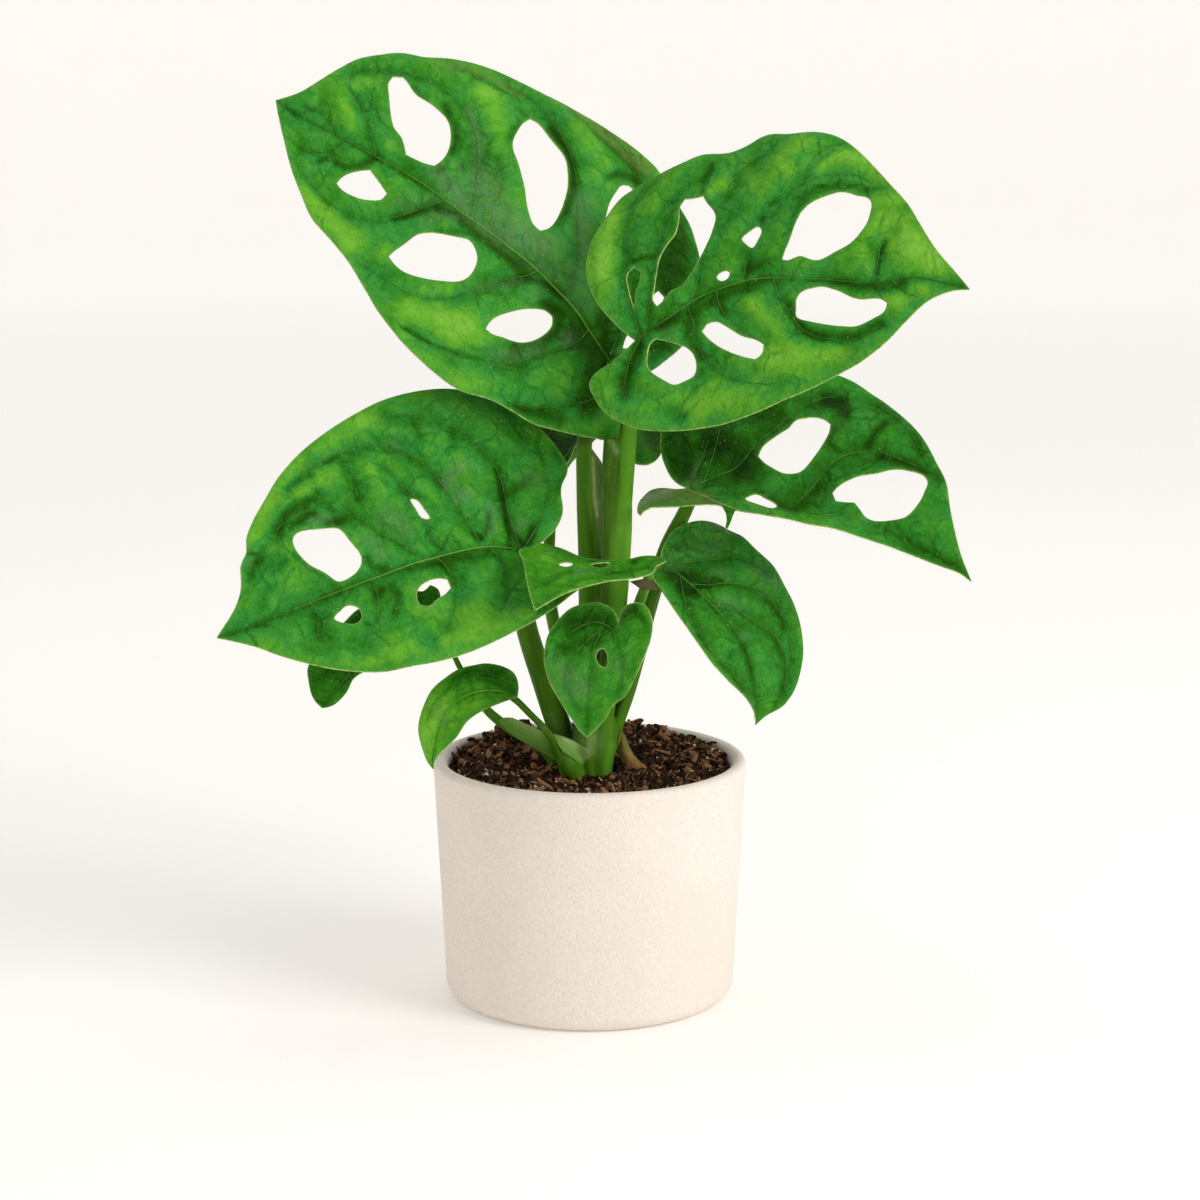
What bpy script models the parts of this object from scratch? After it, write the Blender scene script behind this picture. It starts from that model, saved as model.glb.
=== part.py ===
"""A young monstera adansonii growing in a round stoneware pot.

The pot stands on the ground plane, centred on the origin, with +Z up and the
plant facing -Y. Sizes are metres. Each leaf blade is a thin bent sheet with its
real holes, each stalk is a tapering sweep, and the soil has a hole for every
stem that stands in it.

The leaf outlines were read by eye from a picture of the plant that is 1200
points wide and high. Such a point is dropped along the line of sight of the
viewpoint below, onto the bent sheet that its leaf lies in.
"""
import math
import random

import bmesh
import bpy
from mathutils import Vector
from mathutils.bvhtree import BVHTree
from mathutils.geometry import delaunay_2d_cdt

MM = 0.001

# Pot
RIM_RADIUS = 0.0606
FOOT_RADIUS = 0.0558
POT_HEIGHT = 0.0942
WALL = 0.0052
FLOOR = 0.0060
FOOT_ROUND = 0.0062
INNER_ROUND = 0.0060
POT_SIDES = 56

# Soil
SOIL_LEVEL = 0.0852
SOIL_RISE = 0.0090
SOIL_SLOPE_WIDTH = 0.022
SOIL_EDGE_DIP = 0.0022
SOIL_GAP = 0.0004
SOIL_CORNER = 0.0078
SOIL_SECTORS = 44
SOIL_RINGS = 13
SOIL_LUMPS = 170
SOIL_LUMP_REACH = 0.050
SOIL_RELIEF = 0.0016
SOIL_SEED = 11

# Crown that the stalks rise from
CROWN_FOOT = Vector((0.0038, -0.0032, 0.0775))
CROWN_TOP = Vector((0.0047, -0.0015, 0.1010))
CROWN_RADII = [0.0052, 0.0054, 0.0057, 0.0066, 0.0081, 0.0092]
CROWN_SIDES = 18
CROWN_DEPTH_SHARE = 1.16

# Leaves and stalks
BLADE_THICKNESS = 0.0007
HOLE_STEP = 0.0040
CREASE_WIDTH = 0.0040
STALK_SIDES = 9
JOINT_GAP = 0.0004
NECK_INSET = 0.0020
HOLE_GAP = 0.00035

# Viewpoint of the outlines
VIEW_WIDTH = 1200
VIEW_DISTANCE = 1.200
VIEW_SIDE = 0.004
VIEW_HEIGHT = 0.3896
VIEW_PITCH = math.radians(11.03)
VIEW_FOCUS = 3186.0


def clear_scene():
    for thing in list(bpy.data.objects):
        bpy.data.objects.remove(thing, do_unlink=True)


def surface(name, colour, roughness):
    """A plain material with the piece's own colour."""
    material = bpy.data.materials.new(name)
    material.use_nodes = True
    shader = material.node_tree.nodes["Principled BSDF"]
    shader.inputs["Base Color"].default_value = (*colour, 1.0)
    shader.inputs["Roughness"].default_value = roughness
    shader.inputs["Metallic"].default_value = 0.0
    return material


def place_object(name, shape, origin, material, smooth_angle=50.0):
    """Turn a finished bmesh in world places into an object standing at its origin."""
    bmesh.ops.translate(shape, verts=shape.verts, vec=-Vector(origin))
    mesh = bpy.data.meshes.new(name)
    shape.to_mesh(mesh)
    shape.free()
    mesh.shade_smooth()
    mesh.set_sharp_from_angle(angle=math.radians(smooth_angle))
    mesh.materials.append(material)
    thing = bpy.data.objects.new(name, mesh)
    thing.location = origin
    bpy.context.scene.collection.objects.link(thing)
    return thing


def eye():
    return Vector((VIEW_SIDE, -VIEW_DISTANCE, VIEW_HEIGHT))


def sight(px, py):
    """The line of sight through one point of the picture, of length 1 along +Y."""
    side = (px - VIEW_WIDTH / 2) / VIEW_FOCUS
    rise = (VIEW_WIDTH / 2 - py) / VIEW_FOCUS
    forward = math.cos(VIEW_PITCH) + rise * math.sin(VIEW_PITCH)
    up = rise * math.cos(VIEW_PITCH) - math.sin(VIEW_PITCH)
    return Vector((side / forward, 1.0, up / forward))


def spot(px, py, depth):
    """The place seen at a picture point, depth metres behind the pot's axis."""
    return eye() + sight(px, py) * (VIEW_DISTANCE + depth)


def smooth_run(points, step, closed=False):
    """Points a step apart on the smooth curve through a hand-set list."""
    count = len(points)
    fine = []
    last = count if closed else count - 1
    for i in range(last):
        a = points[(i - 1) % count] if closed or i > 0 else points[0]
        b = points[i]
        c = points[(i + 1) % count]
        d = points[(i + 2) % count] if closed or i + 2 < count else points[-1]
        for k in range(12):
            t = k / 12
            fine.append(0.5 * ((2 * b) + (c - a) * t + (2 * a - 5 * b + 4 * c - d) * t * t
                               + (3 * b - a - 3 * c + d) * t * t * t))
    fine.append(points[0].copy() if closed else points[-1].copy())
    lengths = [0.0]
    for one, two in zip(fine, fine[1:]):
        lengths.append(lengths[-1] + (two - one).length)
    pieces = max(4 if closed else 1, round(lengths[-1] / step))
    result = []
    at = 0
    for k in range(pieces + (0 if closed else 1)):
        target = lengths[-1] * k / pieces
        while at < len(lengths) - 2 and lengths[at + 1] < target:
            at += 1
        span = max(lengths[at + 1] - lengths[at], 1e-9)
        result.append(fine[at].lerp(fine[at + 1], (target - lengths[at]) / span))
    return result


def inside(point, ring):
    """Whether a flat point lies inside a closed ring."""
    within = False
    for (ax, ay), (bx, by) in zip(ring, ring[1:] + ring[:1]):
        if (ay > point[1]) != (by > point[1]):
            if point[0] < ax + (point[1] - ay) * (bx - ax) / (by - ay):
                within = not within
    return within


def edge_distance(point, ring):
    """Distance from a flat point to the nearest side of a ring."""
    nearest = math.inf
    for (ax, ay), (bx, by) in zip(ring, ring[1:] + ring[:1]):
        dx, dy = bx - ax, by - ay
        along = ((point[0] - ax) * dx + (point[1] - ay) * dy) / max(dx * dx + dy * dy, 1e-12)
        along = min(max(along, 0.0), 1.0)
        nearest = min(nearest, math.hypot(point[0] - ax - along * dx, point[1] - ay - along * dy))
    return nearest


class Sheet:
    """The bent sheet that a blade lies in.

    It starts as the plane through the junction, the tip and one side point,
    each a picture point with its depth. The u axis runs from junction to tip
    and the v axis to the left of it. Both halves fold up or down from the
    crease of the midrib, the tip droops and the margins curl and wave.
    """

    def __init__(self, leaf):
        self.leaf = leaf
        self.origin = spot(*leaf["junction"])
        tip = spot(*leaf["tip"])
        side = spot(*leaf["side"])
        self.normal = (tip - self.origin).cross(side - self.origin).normalized()
        if self.normal.y > 0:
            self.normal = -self.normal
        self.along = (tip - self.origin).normalized()
        self.across = self.normal.cross(self.along)
        self.length = (tip - self.origin).length
        self.crease = sorted(self.flat(px, py) for px, py in leaf["midrib"])

    def flat(self, px, py):
        """Where a picture point meets the plane, as (u, v)."""
        ray = sight(px, py)
        reach = (self.origin - eye()).dot(self.normal) / ray.dot(self.normal)
        offset = eye() + ray * reach - self.origin
        return offset.dot(self.along), offset.dot(self.across)

    def crease_at(self, u):
        """How far left of the straight axis the midrib runs at u."""
        line = self.crease
        if u <= line[0][0]:
            return line[0][1]
        for (u0, v0), (u1, v1) in zip(line, line[1:]):
            if u <= u1:
                return v0 + (v1 - v0) * (u - u0) / max(u1 - u0, 1e-9)
        return line[-1][1]

    def height(self, u, v):
        """How far the sheet stands off the plane at (u, v)."""
        leaf = self.leaf
        off = v - self.crease_at(u)
        slope = leaf["fold"][0] if off > 0 else leaf["fold"][1]
        curl = leaf["curl"][0] if off > 0 else leaf["curl"][1]
        share = u / self.length
        reach = min(abs(off) / leaf["half_width"], 1.3)
        rise = slope * (math.hypot(off, CREASE_WIDTH) - CREASE_WIDTH)
        rise += curl * reach ** 3
        rise -= leaf["droop"] * max(share, 0.0) ** 2
        ripple = math.sin(2 * math.pi * leaf["waves"] * share + (0.0 if off > 0 else 2.0))
        rise += leaf["wave"] * ripple * reach ** 2
        return rise

    def upward(self, u, v):
        """The direction that the upper side faces at (u, v)."""
        d = 0.0005
        du = (self.height(u + d, v) - self.height(u - d, v)) / (2 * d)
        dv = (self.height(u, v + d) - self.height(u, v - d)) / (2 * d)
        return (self.normal - self.along * du - self.across * dv).normalized()

    def point(self, u, v, lift):
        base = self.origin + self.along * u + self.across * v
        return base + self.normal * self.height(u, v) + self.upward(u, v) * lift

    def drop(self, px, py):
        """The (u, v) where the line of sight first meets the bent sheet."""
        ray = sight(px, py)
        middle = (self.origin - eye()).dot(self.normal) / ray.dot(self.normal)

        def miss(reach):
            offset = eye() + ray * reach - self.origin
            u, v = offset.dot(self.along), offset.dot(self.across)
            return offset.dot(self.normal) - self.height(u, v)

        span = 0.075
        steps = 150
        near = middle - span
        value = miss(near)
        for k in range(1, steps + 1):
            far = middle - span + 2 * span * k / steps
            new = miss(far)
            if value * new <= 0:
                break
            near, value = far, new
        for _ in range(30):
            half = (near + far) / 2
            if value * miss(half) <= 0:
                far = half
            else:
                near = half
        offset = eye() + ray * (near + far) / 2 - self.origin
        return Vector((offset.dot(self.along), offset.dot(self.across)))


def blade_grid(ring, gaps, spacing):
    """Inner points on a triangular grid, clear of every edge."""
    low_u = min(p[0] for p in ring)
    high_u = max(p[0] for p in ring)
    low_v = min(p[1] for p in ring)
    high_v = max(p[1] for p in ring)
    points = []
    row_height = spacing * math.sqrt(3) / 2
    for row in range(int((high_v - low_v) / row_height) + 2):
        shift = spacing / 2 if row % 2 else 0.0
        for column in range(int((high_u - low_u) / spacing) + 2):
            point = (low_u + shift + column * spacing, low_v + row * row_height)
            if not inside(point, ring) or edge_distance(point, ring) < spacing * 0.55:
                continue
            if any(inside(point, gap) or edge_distance(point, gap) < spacing * 0.5 for gap in gaps):
                continue
            points.append(point)
    return points


def make_blade(leaf, material):
    """One leaf blade: two alike sheets a little apart, joined round every edge."""
    sheet = Sheet(leaf)
    near_side = smooth_run([sheet.drop(*p) for p in leaf["margin_a"]], leaf["step"])
    far_side = smooth_run([sheet.drop(*p) for p in leaf["margin_b"]], leaf["step"])
    ring = [tuple(p) for p in near_side[:-1] + far_side[::-1][:-1]]
    gaps = []
    for hole in leaf["holes"]:
        run = smooth_run([sheet.drop(*p) for p in hole], HOLE_STEP, closed=True)
        gaps.append([tuple(p) for p in run])
    inner = blade_grid(ring, gaps, leaf["grid"])

    points = []
    edges = []
    for loop in [ring] + gaps:
        first = len(points)
        points += [Vector(p) for p in loop]
        edges += [(first + i, first + (i + 1) % len(loop)) for i in range(len(loop))]
    points += [Vector(p) for p in inner]
    flat, _, faces, *_ = delaunay_2d_cdt(points, edges, [], 0, 1e-6)
    kept = []
    for face in faces:
        centre = sum((flat[i] for i in face), Vector((0, 0))) / 3
        if inside(centre, ring) and not any(inside(centre, gap) for gap in gaps):
            kept.append(face)

    shape = bmesh.new()
    half = BLADE_THICKNESS / 2
    used = sorted({i for face in kept for i in face})
    top = {i: shape.verts.new(sheet.point(flat[i].x, flat[i].y, half)) for i in used}
    bottom = {i: shape.verts.new(sheet.point(flat[i].x, flat[i].y, -half)) for i in used}
    borders = {}
    for a, b, c in kept:
        shape.faces.new((top[a], top[b], top[c]))
        shape.faces.new((bottom[c], bottom[b], bottom[a]))
        for pair in ((a, b), (b, c), (c, a)):
            borders[pair] = borders.get(pair, 0) + 1
    for a, b in borders:
        if (b, a) not in borders:
            shape.faces.new((top[a], bottom[a], bottom[b]))
            shape.faces.new((top[a], bottom[b], top[b]))
    bmesh.ops.recalc_face_normals(shape, faces=shape.faces)
    skin = BVHTree.FromBMesh(shape)
    place_object(leaf["name"], shape, sheet.origin, material, smooth_angle=40.0)
    return sheet, skin


def make_sweep(path, radii, sides, wings=None, wing_side=Vector((-1, 0, 0)), flatten=1.0):
    """A closed tapering sweep; wings pull its section out to one side like a sheath."""
    shape = bmesh.new()
    rings = []
    forward = (path[1] - path[0]).normalized()
    right = wing_side - forward * wing_side.dot(forward)
    right.normalize()
    for i, place in enumerate(path):
        ahead = path[min(i + 1, len(path) - 1)] - path[max(i - 1, 0)]
        ahead.normalize()
        right = (right - ahead * right.dot(ahead)).normalized()
        level = ahead.cross(right)
        wing = wings[i] if wings else 0.0
        ring = []
        for k in range(sides):
            angle = 2 * math.pi * k / sides
            out = 1.0 + wing * max(math.cos(angle), 0.0) ** 5
            offset = right * math.cos(angle) * out + level * math.sin(angle) * flatten
            ring.append(shape.verts.new(place + offset * radii[i]))
        rings.append(ring)
    for one, two in zip(rings, rings[1:]):
        for k in range(sides):
            shape.faces.new((one[k], one[(k + 1) % sides], two[(k + 1) % sides], two[k]))
    shape.faces.new(rings[0][::-1])
    shape.faces.new(rings[-1])
    bmesh.ops.recalc_face_normals(shape, faces=shape.faces)
    bmesh.ops.triangulate(shape, faces=shape.faces)
    return shape


def spread(values, count):
    """Values at even steps, read straight between the given ones."""
    result = []
    for k in range(count):
        at = k * (len(values) - 1) / (count - 1)
        low = min(int(at), len(values) - 2)
        result.append(values[low] + (values[low + 1] - values[low]) * (at - low))
    return result


def stalk_path(stalk, sheet, seat):
    """The middle line of a leaf stalk, from its root to a seat just under the blade."""
    upward = sheet.upward(0.0, 0.0)
    joint = sheet.point(NECK_INSET, sheet.crease_at(NECK_INSET), 0.0)
    points = [Vector(p) for p in stalk["foot"]]
    points += [spot(px, py, depth) for px, py, depth in stalk["route"]]
    points += [joint - upward * stalk["neck"], joint - upward * seat]
    return smooth_run(points, stalk["step"])


def clearance(shape, skin):
    """The least distance from a stalk's points to a blade."""
    if BVHTree.FromBMesh(shape).overlap(skin):
        return 0.0
    return min(skin.find_nearest(vert.co)[3] for vert in shape.verts)


def make_stalk(stalk, sheet, skin, material):
    """A leaf stalk whose end is drawn back until it just clears the blade."""
    seat = BLADE_THICKNESS / 2 + JOINT_GAP
    while True:
        path = stalk_path(stalk, sheet, seat)
        radii = spread(stalk["radii"], len(path))
        wings = spread(stalk["wings"], len(path))
        shape = make_sweep(path, radii, STALK_SIDES, wings, Vector(stalk["wing_side"]))
        if clearance(shape, skin) >= JOINT_GAP * 0.8 or seat > stalk["neck"] * 0.8:
            break
        shape.free()
        seat += 0.0001
    place_object(stalk["name"], shape, path[0], material, smooth_angle=60.0)
    return path, radii, wings


def pot_profile():
    """Half section of the pot, from the middle of its underside round to its floor."""
    taper = (RIM_RADIUS - FOOT_RADIUS) / POT_HEIGHT
    lip = WALL / 2
    points = [(0.0, 0.0)]
    for k in range(6):
        angle = -math.pi / 2 + k * math.pi / 2 / 5
        radius = FOOT_RADIUS - FOOT_ROUND + FOOT_ROUND * math.cos(angle)
        points.append((radius + taper * FOOT_ROUND * k / 5, FOOT_ROUND + FOOT_ROUND * math.sin(angle)))
    for share in (0.4, 0.7):
        height = POT_HEIGHT * share
        points.append((FOOT_RADIUS + taper * height, height))
    for k in range(7):
        angle = math.pi * k / 6
        points.append((RIM_RADIUS - lip + lip * math.cos(angle), POT_HEIGHT - lip + lip * math.sin(angle)))
    inner_foot = FOOT_RADIUS - WALL + taper * FLOOR
    points.append((inner_foot + taper * INNER_ROUND, FLOOR + INNER_ROUND))
    points.append((inner_foot - INNER_ROUND * 0.3, FLOOR + INNER_ROUND * 0.3))
    points.append((inner_foot - INNER_ROUND, FLOOR))
    points.append((0.0, FLOOR))
    return points


def inner_radius(height):
    """Radius of the pot's inner wall at a height."""
    taper = (RIM_RADIUS - FOOT_RADIUS) / POT_HEIGHT
    return FOOT_RADIUS - WALL + taper * height


def turned(profile, sides):
    """Spin a half section about the pot's axis."""
    shape = bmesh.new()
    verts = [shape.verts.new((radius, 0.0, height)) for radius, height in profile]
    edges = [shape.edges.new(pair) for pair in zip(verts, verts[1:])]
    bmesh.ops.spin(shape, geom=verts + edges, cent=(0, 0, 0), axis=(0, 0, 1),
                   angle=2 * math.pi, steps=sides, use_duplicate=False)
    bmesh.ops.remove_doubles(shape, verts=shape.verts, dist=1e-6)
    bmesh.ops.recalc_face_normals(shape, faces=shape.faces)
    return shape


def make_pot():
    material = surface("cream stoneware", (0.78, 0.70, 0.62), 0.75)
    place_object("pot", turned(pot_profile(), POT_SIDES), (0, 0, 0), material)


def soil_height(x, y, lumps):
    """Height of the soil: a slope up to the back, with seeded lumps."""
    height = SOIL_LEVEL + SOIL_RISE * (0.5 + 0.5 * math.tanh(y / SOIL_SLOPE_WIDTH))
    for lx, ly, size, lift in lumps:
        away = ((x - lx) ** 2 + (y - ly) ** 2) / (size * size)
        if away < 9:
            height += lift * math.exp(-away)
    edge = math.hypot(x, y) / inner_radius(SOIL_LEVEL)
    return height - SOIL_EDGE_DIP * max(edge - 0.8, 0.0) / 0.2


def soil_lumps():
    draw = random.Random(SOIL_SEED)
    lumps = []
    for _ in range(SOIL_LUMPS):
        reach = SOIL_LUMP_REACH * math.sqrt(draw.random())
        turn = draw.uniform(0, 2 * math.pi)
        lift = draw.choice((-0.7, 0.6, 1.0, 1.5)) * SOIL_RELIEF * (1.0 + 0.5 * math.sin(turn))
        size = draw.uniform(0.0022, 0.0048)
        lumps.append((reach * math.cos(turn), reach * math.sin(turn), size, lift))
    return lumps


def soil_body():
    """The whole fill of the pot, rough on top and fitted to the inner wall."""
    lumps = soil_lumps()
    shape = bmesh.new()
    wall = inner_radius(SOIL_LEVEL) - SOIL_GAP
    top = [[shape.verts.new((0, 0, soil_height(0, 0, lumps)))]]
    for ring in range(1, SOIL_RINGS + 1):
        row = []
        for k in range(SOIL_SECTORS):
            angle = 2 * math.pi * (k + 0.5 * (ring % 2)) / SOIL_SECTORS
            radius = wall * ring / SOIL_RINGS
            x, y = radius * math.cos(angle), radius * math.sin(angle)
            row.append(shape.verts.new((x, y, soil_height(x, y, lumps))))
        top.append(row)
    for k in range(SOIL_SECTORS):
        shape.faces.new((top[0][0], top[1][k], top[1][(k + 1) % SOIL_SECTORS]))
    for ring in range(1, SOIL_RINGS):
        one, two = top[ring], top[ring + 1]
        for k in range(SOIL_SECTORS):
            after = (k + 1) % SOIL_SECTORS
            if ring % 2:
                shape.faces.new((one[k], two[after], one[after]))
                shape.faces.new((one[k], two[k], two[after]))
            else:
                shape.faces.new((one[k], two[k], one[after]))
                shape.faces.new((two[k], two[after], one[after]))
    below = top[SOIL_RINGS]
    levels = ((POT_HEIGHT / 2, SOIL_GAP), (FLOOR + SOIL_CORNER, SOIL_GAP), (FLOOR + SOIL_GAP, SOIL_CORNER))
    for height, inset in levels:
        radius = inner_radius(height) - inset
        row = []
        for k in range(SOIL_SECTORS):
            angle = 2 * math.pi * (k + 0.5 * (SOIL_RINGS % 2)) / SOIL_SECTORS
            row.append(shape.verts.new((radius * math.cos(angle), radius * math.sin(angle), height)))
        for k in range(SOIL_SECTORS):
            after = (k + 1) % SOIL_SECTORS
            shape.faces.new((below[k], row[k], row[after], below[after]))
        below = row
    shape.faces.new(below[::-1])
    bmesh.ops.recalc_face_normals(shape, faces=shape.faces)
    return shape


def cut_hole(body, name, material, path, radii, sides, wings=None, wing_side=(-1, 0, 0), flatten=1.0):
    """Cut a stem's own shape, a gap wider all round, out of the body it stands in."""
    foot = path[0] - (path[1] - path[0]).normalized() * HOLE_GAP
    grown = [radius + HOLE_GAP for radius in radii]
    spans = [wings[0]] + list(wings) if wings else None
    cut = make_sweep([foot] + list(path), [grown[0]] + grown, sides, spans, Vector(wing_side), flatten)
    cutter = place_object(name, cut, (0, 0, 0), material)
    cutter.hide_render = True
    cutter.display_type = "WIRE"
    hole = body.modifiers.new(name, "BOOLEAN")
    hole.operation = "DIFFERENCE"
    hole.object = cutter
    hole.solver = "EXACT"


def make_soil(stems):
    """The soil with a plain hole round every stem that stands in it."""
    material = surface("dark potting soil", (0.045, 0.026, 0.017), 0.95)
    soil = place_object("soil", soil_body(), (0, 0, 0), material, smooth_angle=25.0)
    for number, stem in enumerate(stems):
        cut_hole(soil, f"stem hole {number}", material, **stem)


def make_crown(sockets, material):
    """The short stem that the stalks rise from, with a socket for each of them."""
    path = [CROWN_FOOT.lerp(CROWN_TOP, k / 5) for k in range(6)]
    form = {"path": path, "radii": CROWN_RADII, "sides": CROWN_SIDES, "flatten": CROWN_DEPTH_SHARE}
    crown = place_object("crown", make_sweep(**form), CROWN_FOOT, material, smooth_angle=60.0)
    for number, socket in enumerate(sockets):
        cut_hole(crown, f"stalk socket {number}", material, **socket)
    return form


def make_dry_sheath():
    """A dried brown leaf sheath that stands in the soil beside the crown."""
    material = surface("dry brown sheath", (0.34, 0.20, 0.07), 0.7)
    route = [(642, 784, 4 * MM), (639, 772, 4 * MM), (634, 757, 5 * MM), (629, 744, 6 * MM),
             (625.5, 733, 7 * MM)]
    path = smooth_run([spot(*p) for p in route], 0.0032)
    radii = spread([0.0048, 0.0045, 0.0030, 0.0017, 0.0007], len(path))
    flatten = 0.5
    side = Vector((1, 0, 0))
    shape = make_sweep(path, radii, 8, wing_side=side, flatten=flatten)
    place_object("dry_sheath", shape, path[0], material)
    return {"path": path, "radii": radii, "sides": 8, "wing_side": side, "flatten": flatten}


LEAF_1 = {
    "name": "leaf_1_upper_left", "step": 0.0050, "grid": 0.0115, "half_width": 0.055,
    "junction": (612, 366, 14 * MM), "tip": (276, 101, 33 * MM), "side": (558, 102, 62 * MM),
    "fold": (0.06, -0.02), "curl": (2 * MM, -5 * MM), "droop": 5 * MM, "wave": 1.6 * MM, "waves": 2.5,
    "midrib": [(612, 366), (590, 332), (555, 288), (508, 246.5), (455, 207.5), (402, 171), (353, 144),
               (297, 114), (276, 101)],
    "margin_a": [(612, 366), (615, 363), (623, 371), (635, 376), (650, 371.5), (666, 360), (682, 346),
                 (693, 330), (700, 310), (702, 285), (699, 259), (696, 247), (690, 228), (680, 209),
                 (660, 175), (649, 162), (634, 149), (611, 133), (584, 116.5), (558, 102), (531.5, 89),
                 (505, 76), (479, 66), (452, 60), (423, 58), (402, 54), (379, 56), (358, 60), (338, 70),
                 (317, 83), (298, 94), (276, 101)],
    "margin_b": [(612, 366), (613, 374), (619, 392), (623, 415), (622, 430), (618, 438), (611, 441),
                 (593, 438), (575.5, 435), (552, 429), (531.5, 423), (493, 401), (473, 395), (455, 388),
                 (423, 363), (399.5, 339.5), (379, 313), (364, 288), (347, 260), (326, 235), (311.5, 218),
                 (301, 194), (292, 171), (285, 144), (279, 118), (276, 101)],
    "holes": [
        [(388, 84), (392, 77.5), (401, 77), (407, 82), (416, 95), (429, 103), (442, 114), (449, 124),
         (451, 138.5), (448, 152), (441, 162), (432, 167), (420, 162), (405, 155), (403, 141.5),
         (395, 131), (391, 119.5), (389, 103)],
        [(530, 119.5), (539, 125), (552, 141.5), (565, 159), (568, 183), (564, 203), (556, 221),
         (548, 229.5), (542, 232), (534, 227), (527, 209), (524, 188), (518, 165), (512, 146),
         (518, 130), (526, 121)],
        [(603, 229.5), (605, 218), (609, 203), (617, 190), (624, 184.5), (633, 190), (640, 204),
         (640, 225), (630, 243), (615, 248), (606, 243)],
        [(622, 349), (627, 335), (640, 316), (654, 293), (658, 291), (663, 295), (664, 299),
         (655, 318), (645, 335), (632, 348)],
        [(336, 184), (344, 176), (355.5, 172), (369, 170), (373, 174), (380, 184), (387, 193),
         (382, 200), (367, 201), (353, 197), (342, 191)],
        [(388, 257), (402, 246), (417, 235), (432, 233), (452, 236), (470, 241), (476, 251.5),
         (477, 262), (471, 275), (460, 282), (443.5, 282), (423, 279), (405, 273.5), (394, 265)],
        [(485, 329), (493, 319), (508, 312.5), (526, 309), (542, 310), (551, 315), (553, 323),
         (546, 334), (531.5, 342), (517, 343), (502, 338), (490, 334)],
    ],
}

LEAF_2 = {
    "name": "leaf_2_upper_right", "step": 0.0050, "grid": 0.0115, "half_width": 0.052,
    "junction": (636, 341, -16 * MM), "tip": (970, 290, -60 * MM), "side": (790, 135, 5 * MM),
    "fold": (0.04, 0.10), "curl": (-4 * MM, -2 * MM), "droop": 4 * MM, "wave": 1.5 * MM, "waves": 2.5,
    "midrib": [(636, 341), (661, 323), (686, 306), (711.5, 292), (756, 279), (812.5, 279),
               (869, 283), (919, 278), (970, 290)],
    "margin_a": [(636, 341), (622, 330), (609.5, 317.5), (598, 303), (590, 287), (587, 274), (588, 257),
                 (593, 241), (603, 224), (620, 201), (633, 191), (660, 175), (681, 165), (703, 156),
                 (730, 154), (748, 146.5), (768, 136), (790, 135), (807, 133), (824, 134),
                 (841, 139.5), (857, 151), (874, 167.5), (891, 186), (908, 205), (922, 228),
                 (936, 250), (953, 270), (970, 290)],
    "margin_b": [(636, 341), (616, 360), (596.5, 374), (590, 382), (594, 396), (605, 412), (622, 423),
                 (644, 430), (672, 431), (700, 428.5), (728, 423), (756, 413), (784.5, 400),
                 (812.5, 388), (838, 375), (863, 361), (885.5, 343), (902, 326), (922, 306),
                 (936, 297), (953, 291), (970, 290)],
    "holes": [
        [(680, 208), (687, 198), (696, 199), (704.6, 196.5), (708.6, 205), (716, 214), (714, 229),
         (707, 246), (700, 259.5), (692, 274), (681, 287), (675.5, 288), (667.5, 296), (663, 303),
         (657, 307), (653, 301), (654, 292), (656, 278), (659.5, 260), (666, 247), (675.5, 234),
         (679, 220)],
        [(742, 239), (751, 231), (761.5, 226.5), (761, 236), (752, 249.5), (745, 243)],
        [(717, 278), (723, 272), (729, 270.5), (730, 276), (723, 282)],
        [(656, 339), (669, 342), (683, 346), (691, 351), (696.5, 360), (697, 368), (695, 376),
         (683, 383), (674, 385.5), (662, 380), (650.5, 372), (647, 364), (648, 353), (651, 342)],
        [(782, 260), (790, 239), (798.5, 217), (810, 204), (827, 196), (843, 192), (853, 195),
         (871, 200), (870, 217), (864, 229), (852, 243), (835, 253), (818, 261), (798.5, 257),
         (787, 262)],
        [(634.5, 309.5), (627, 281), (629, 273), (634, 267.5), (640, 270), (642, 276), (637, 292)],
        [(796, 309), (798.5, 295), (810, 289), (824, 287), (841, 292), (857, 299), (880, 299),
         (888, 304), (884, 313), (871.5, 320.5), (857, 327), (841, 327), (824, 325), (798.5, 319)],
        [(702, 332), (706, 325), (717, 322), (728, 327.5), (742, 336), (756, 340), (764, 344),
         (763, 353), (758, 360), (745, 358), (728, 352), (714, 344)],
    ],
}

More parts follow.
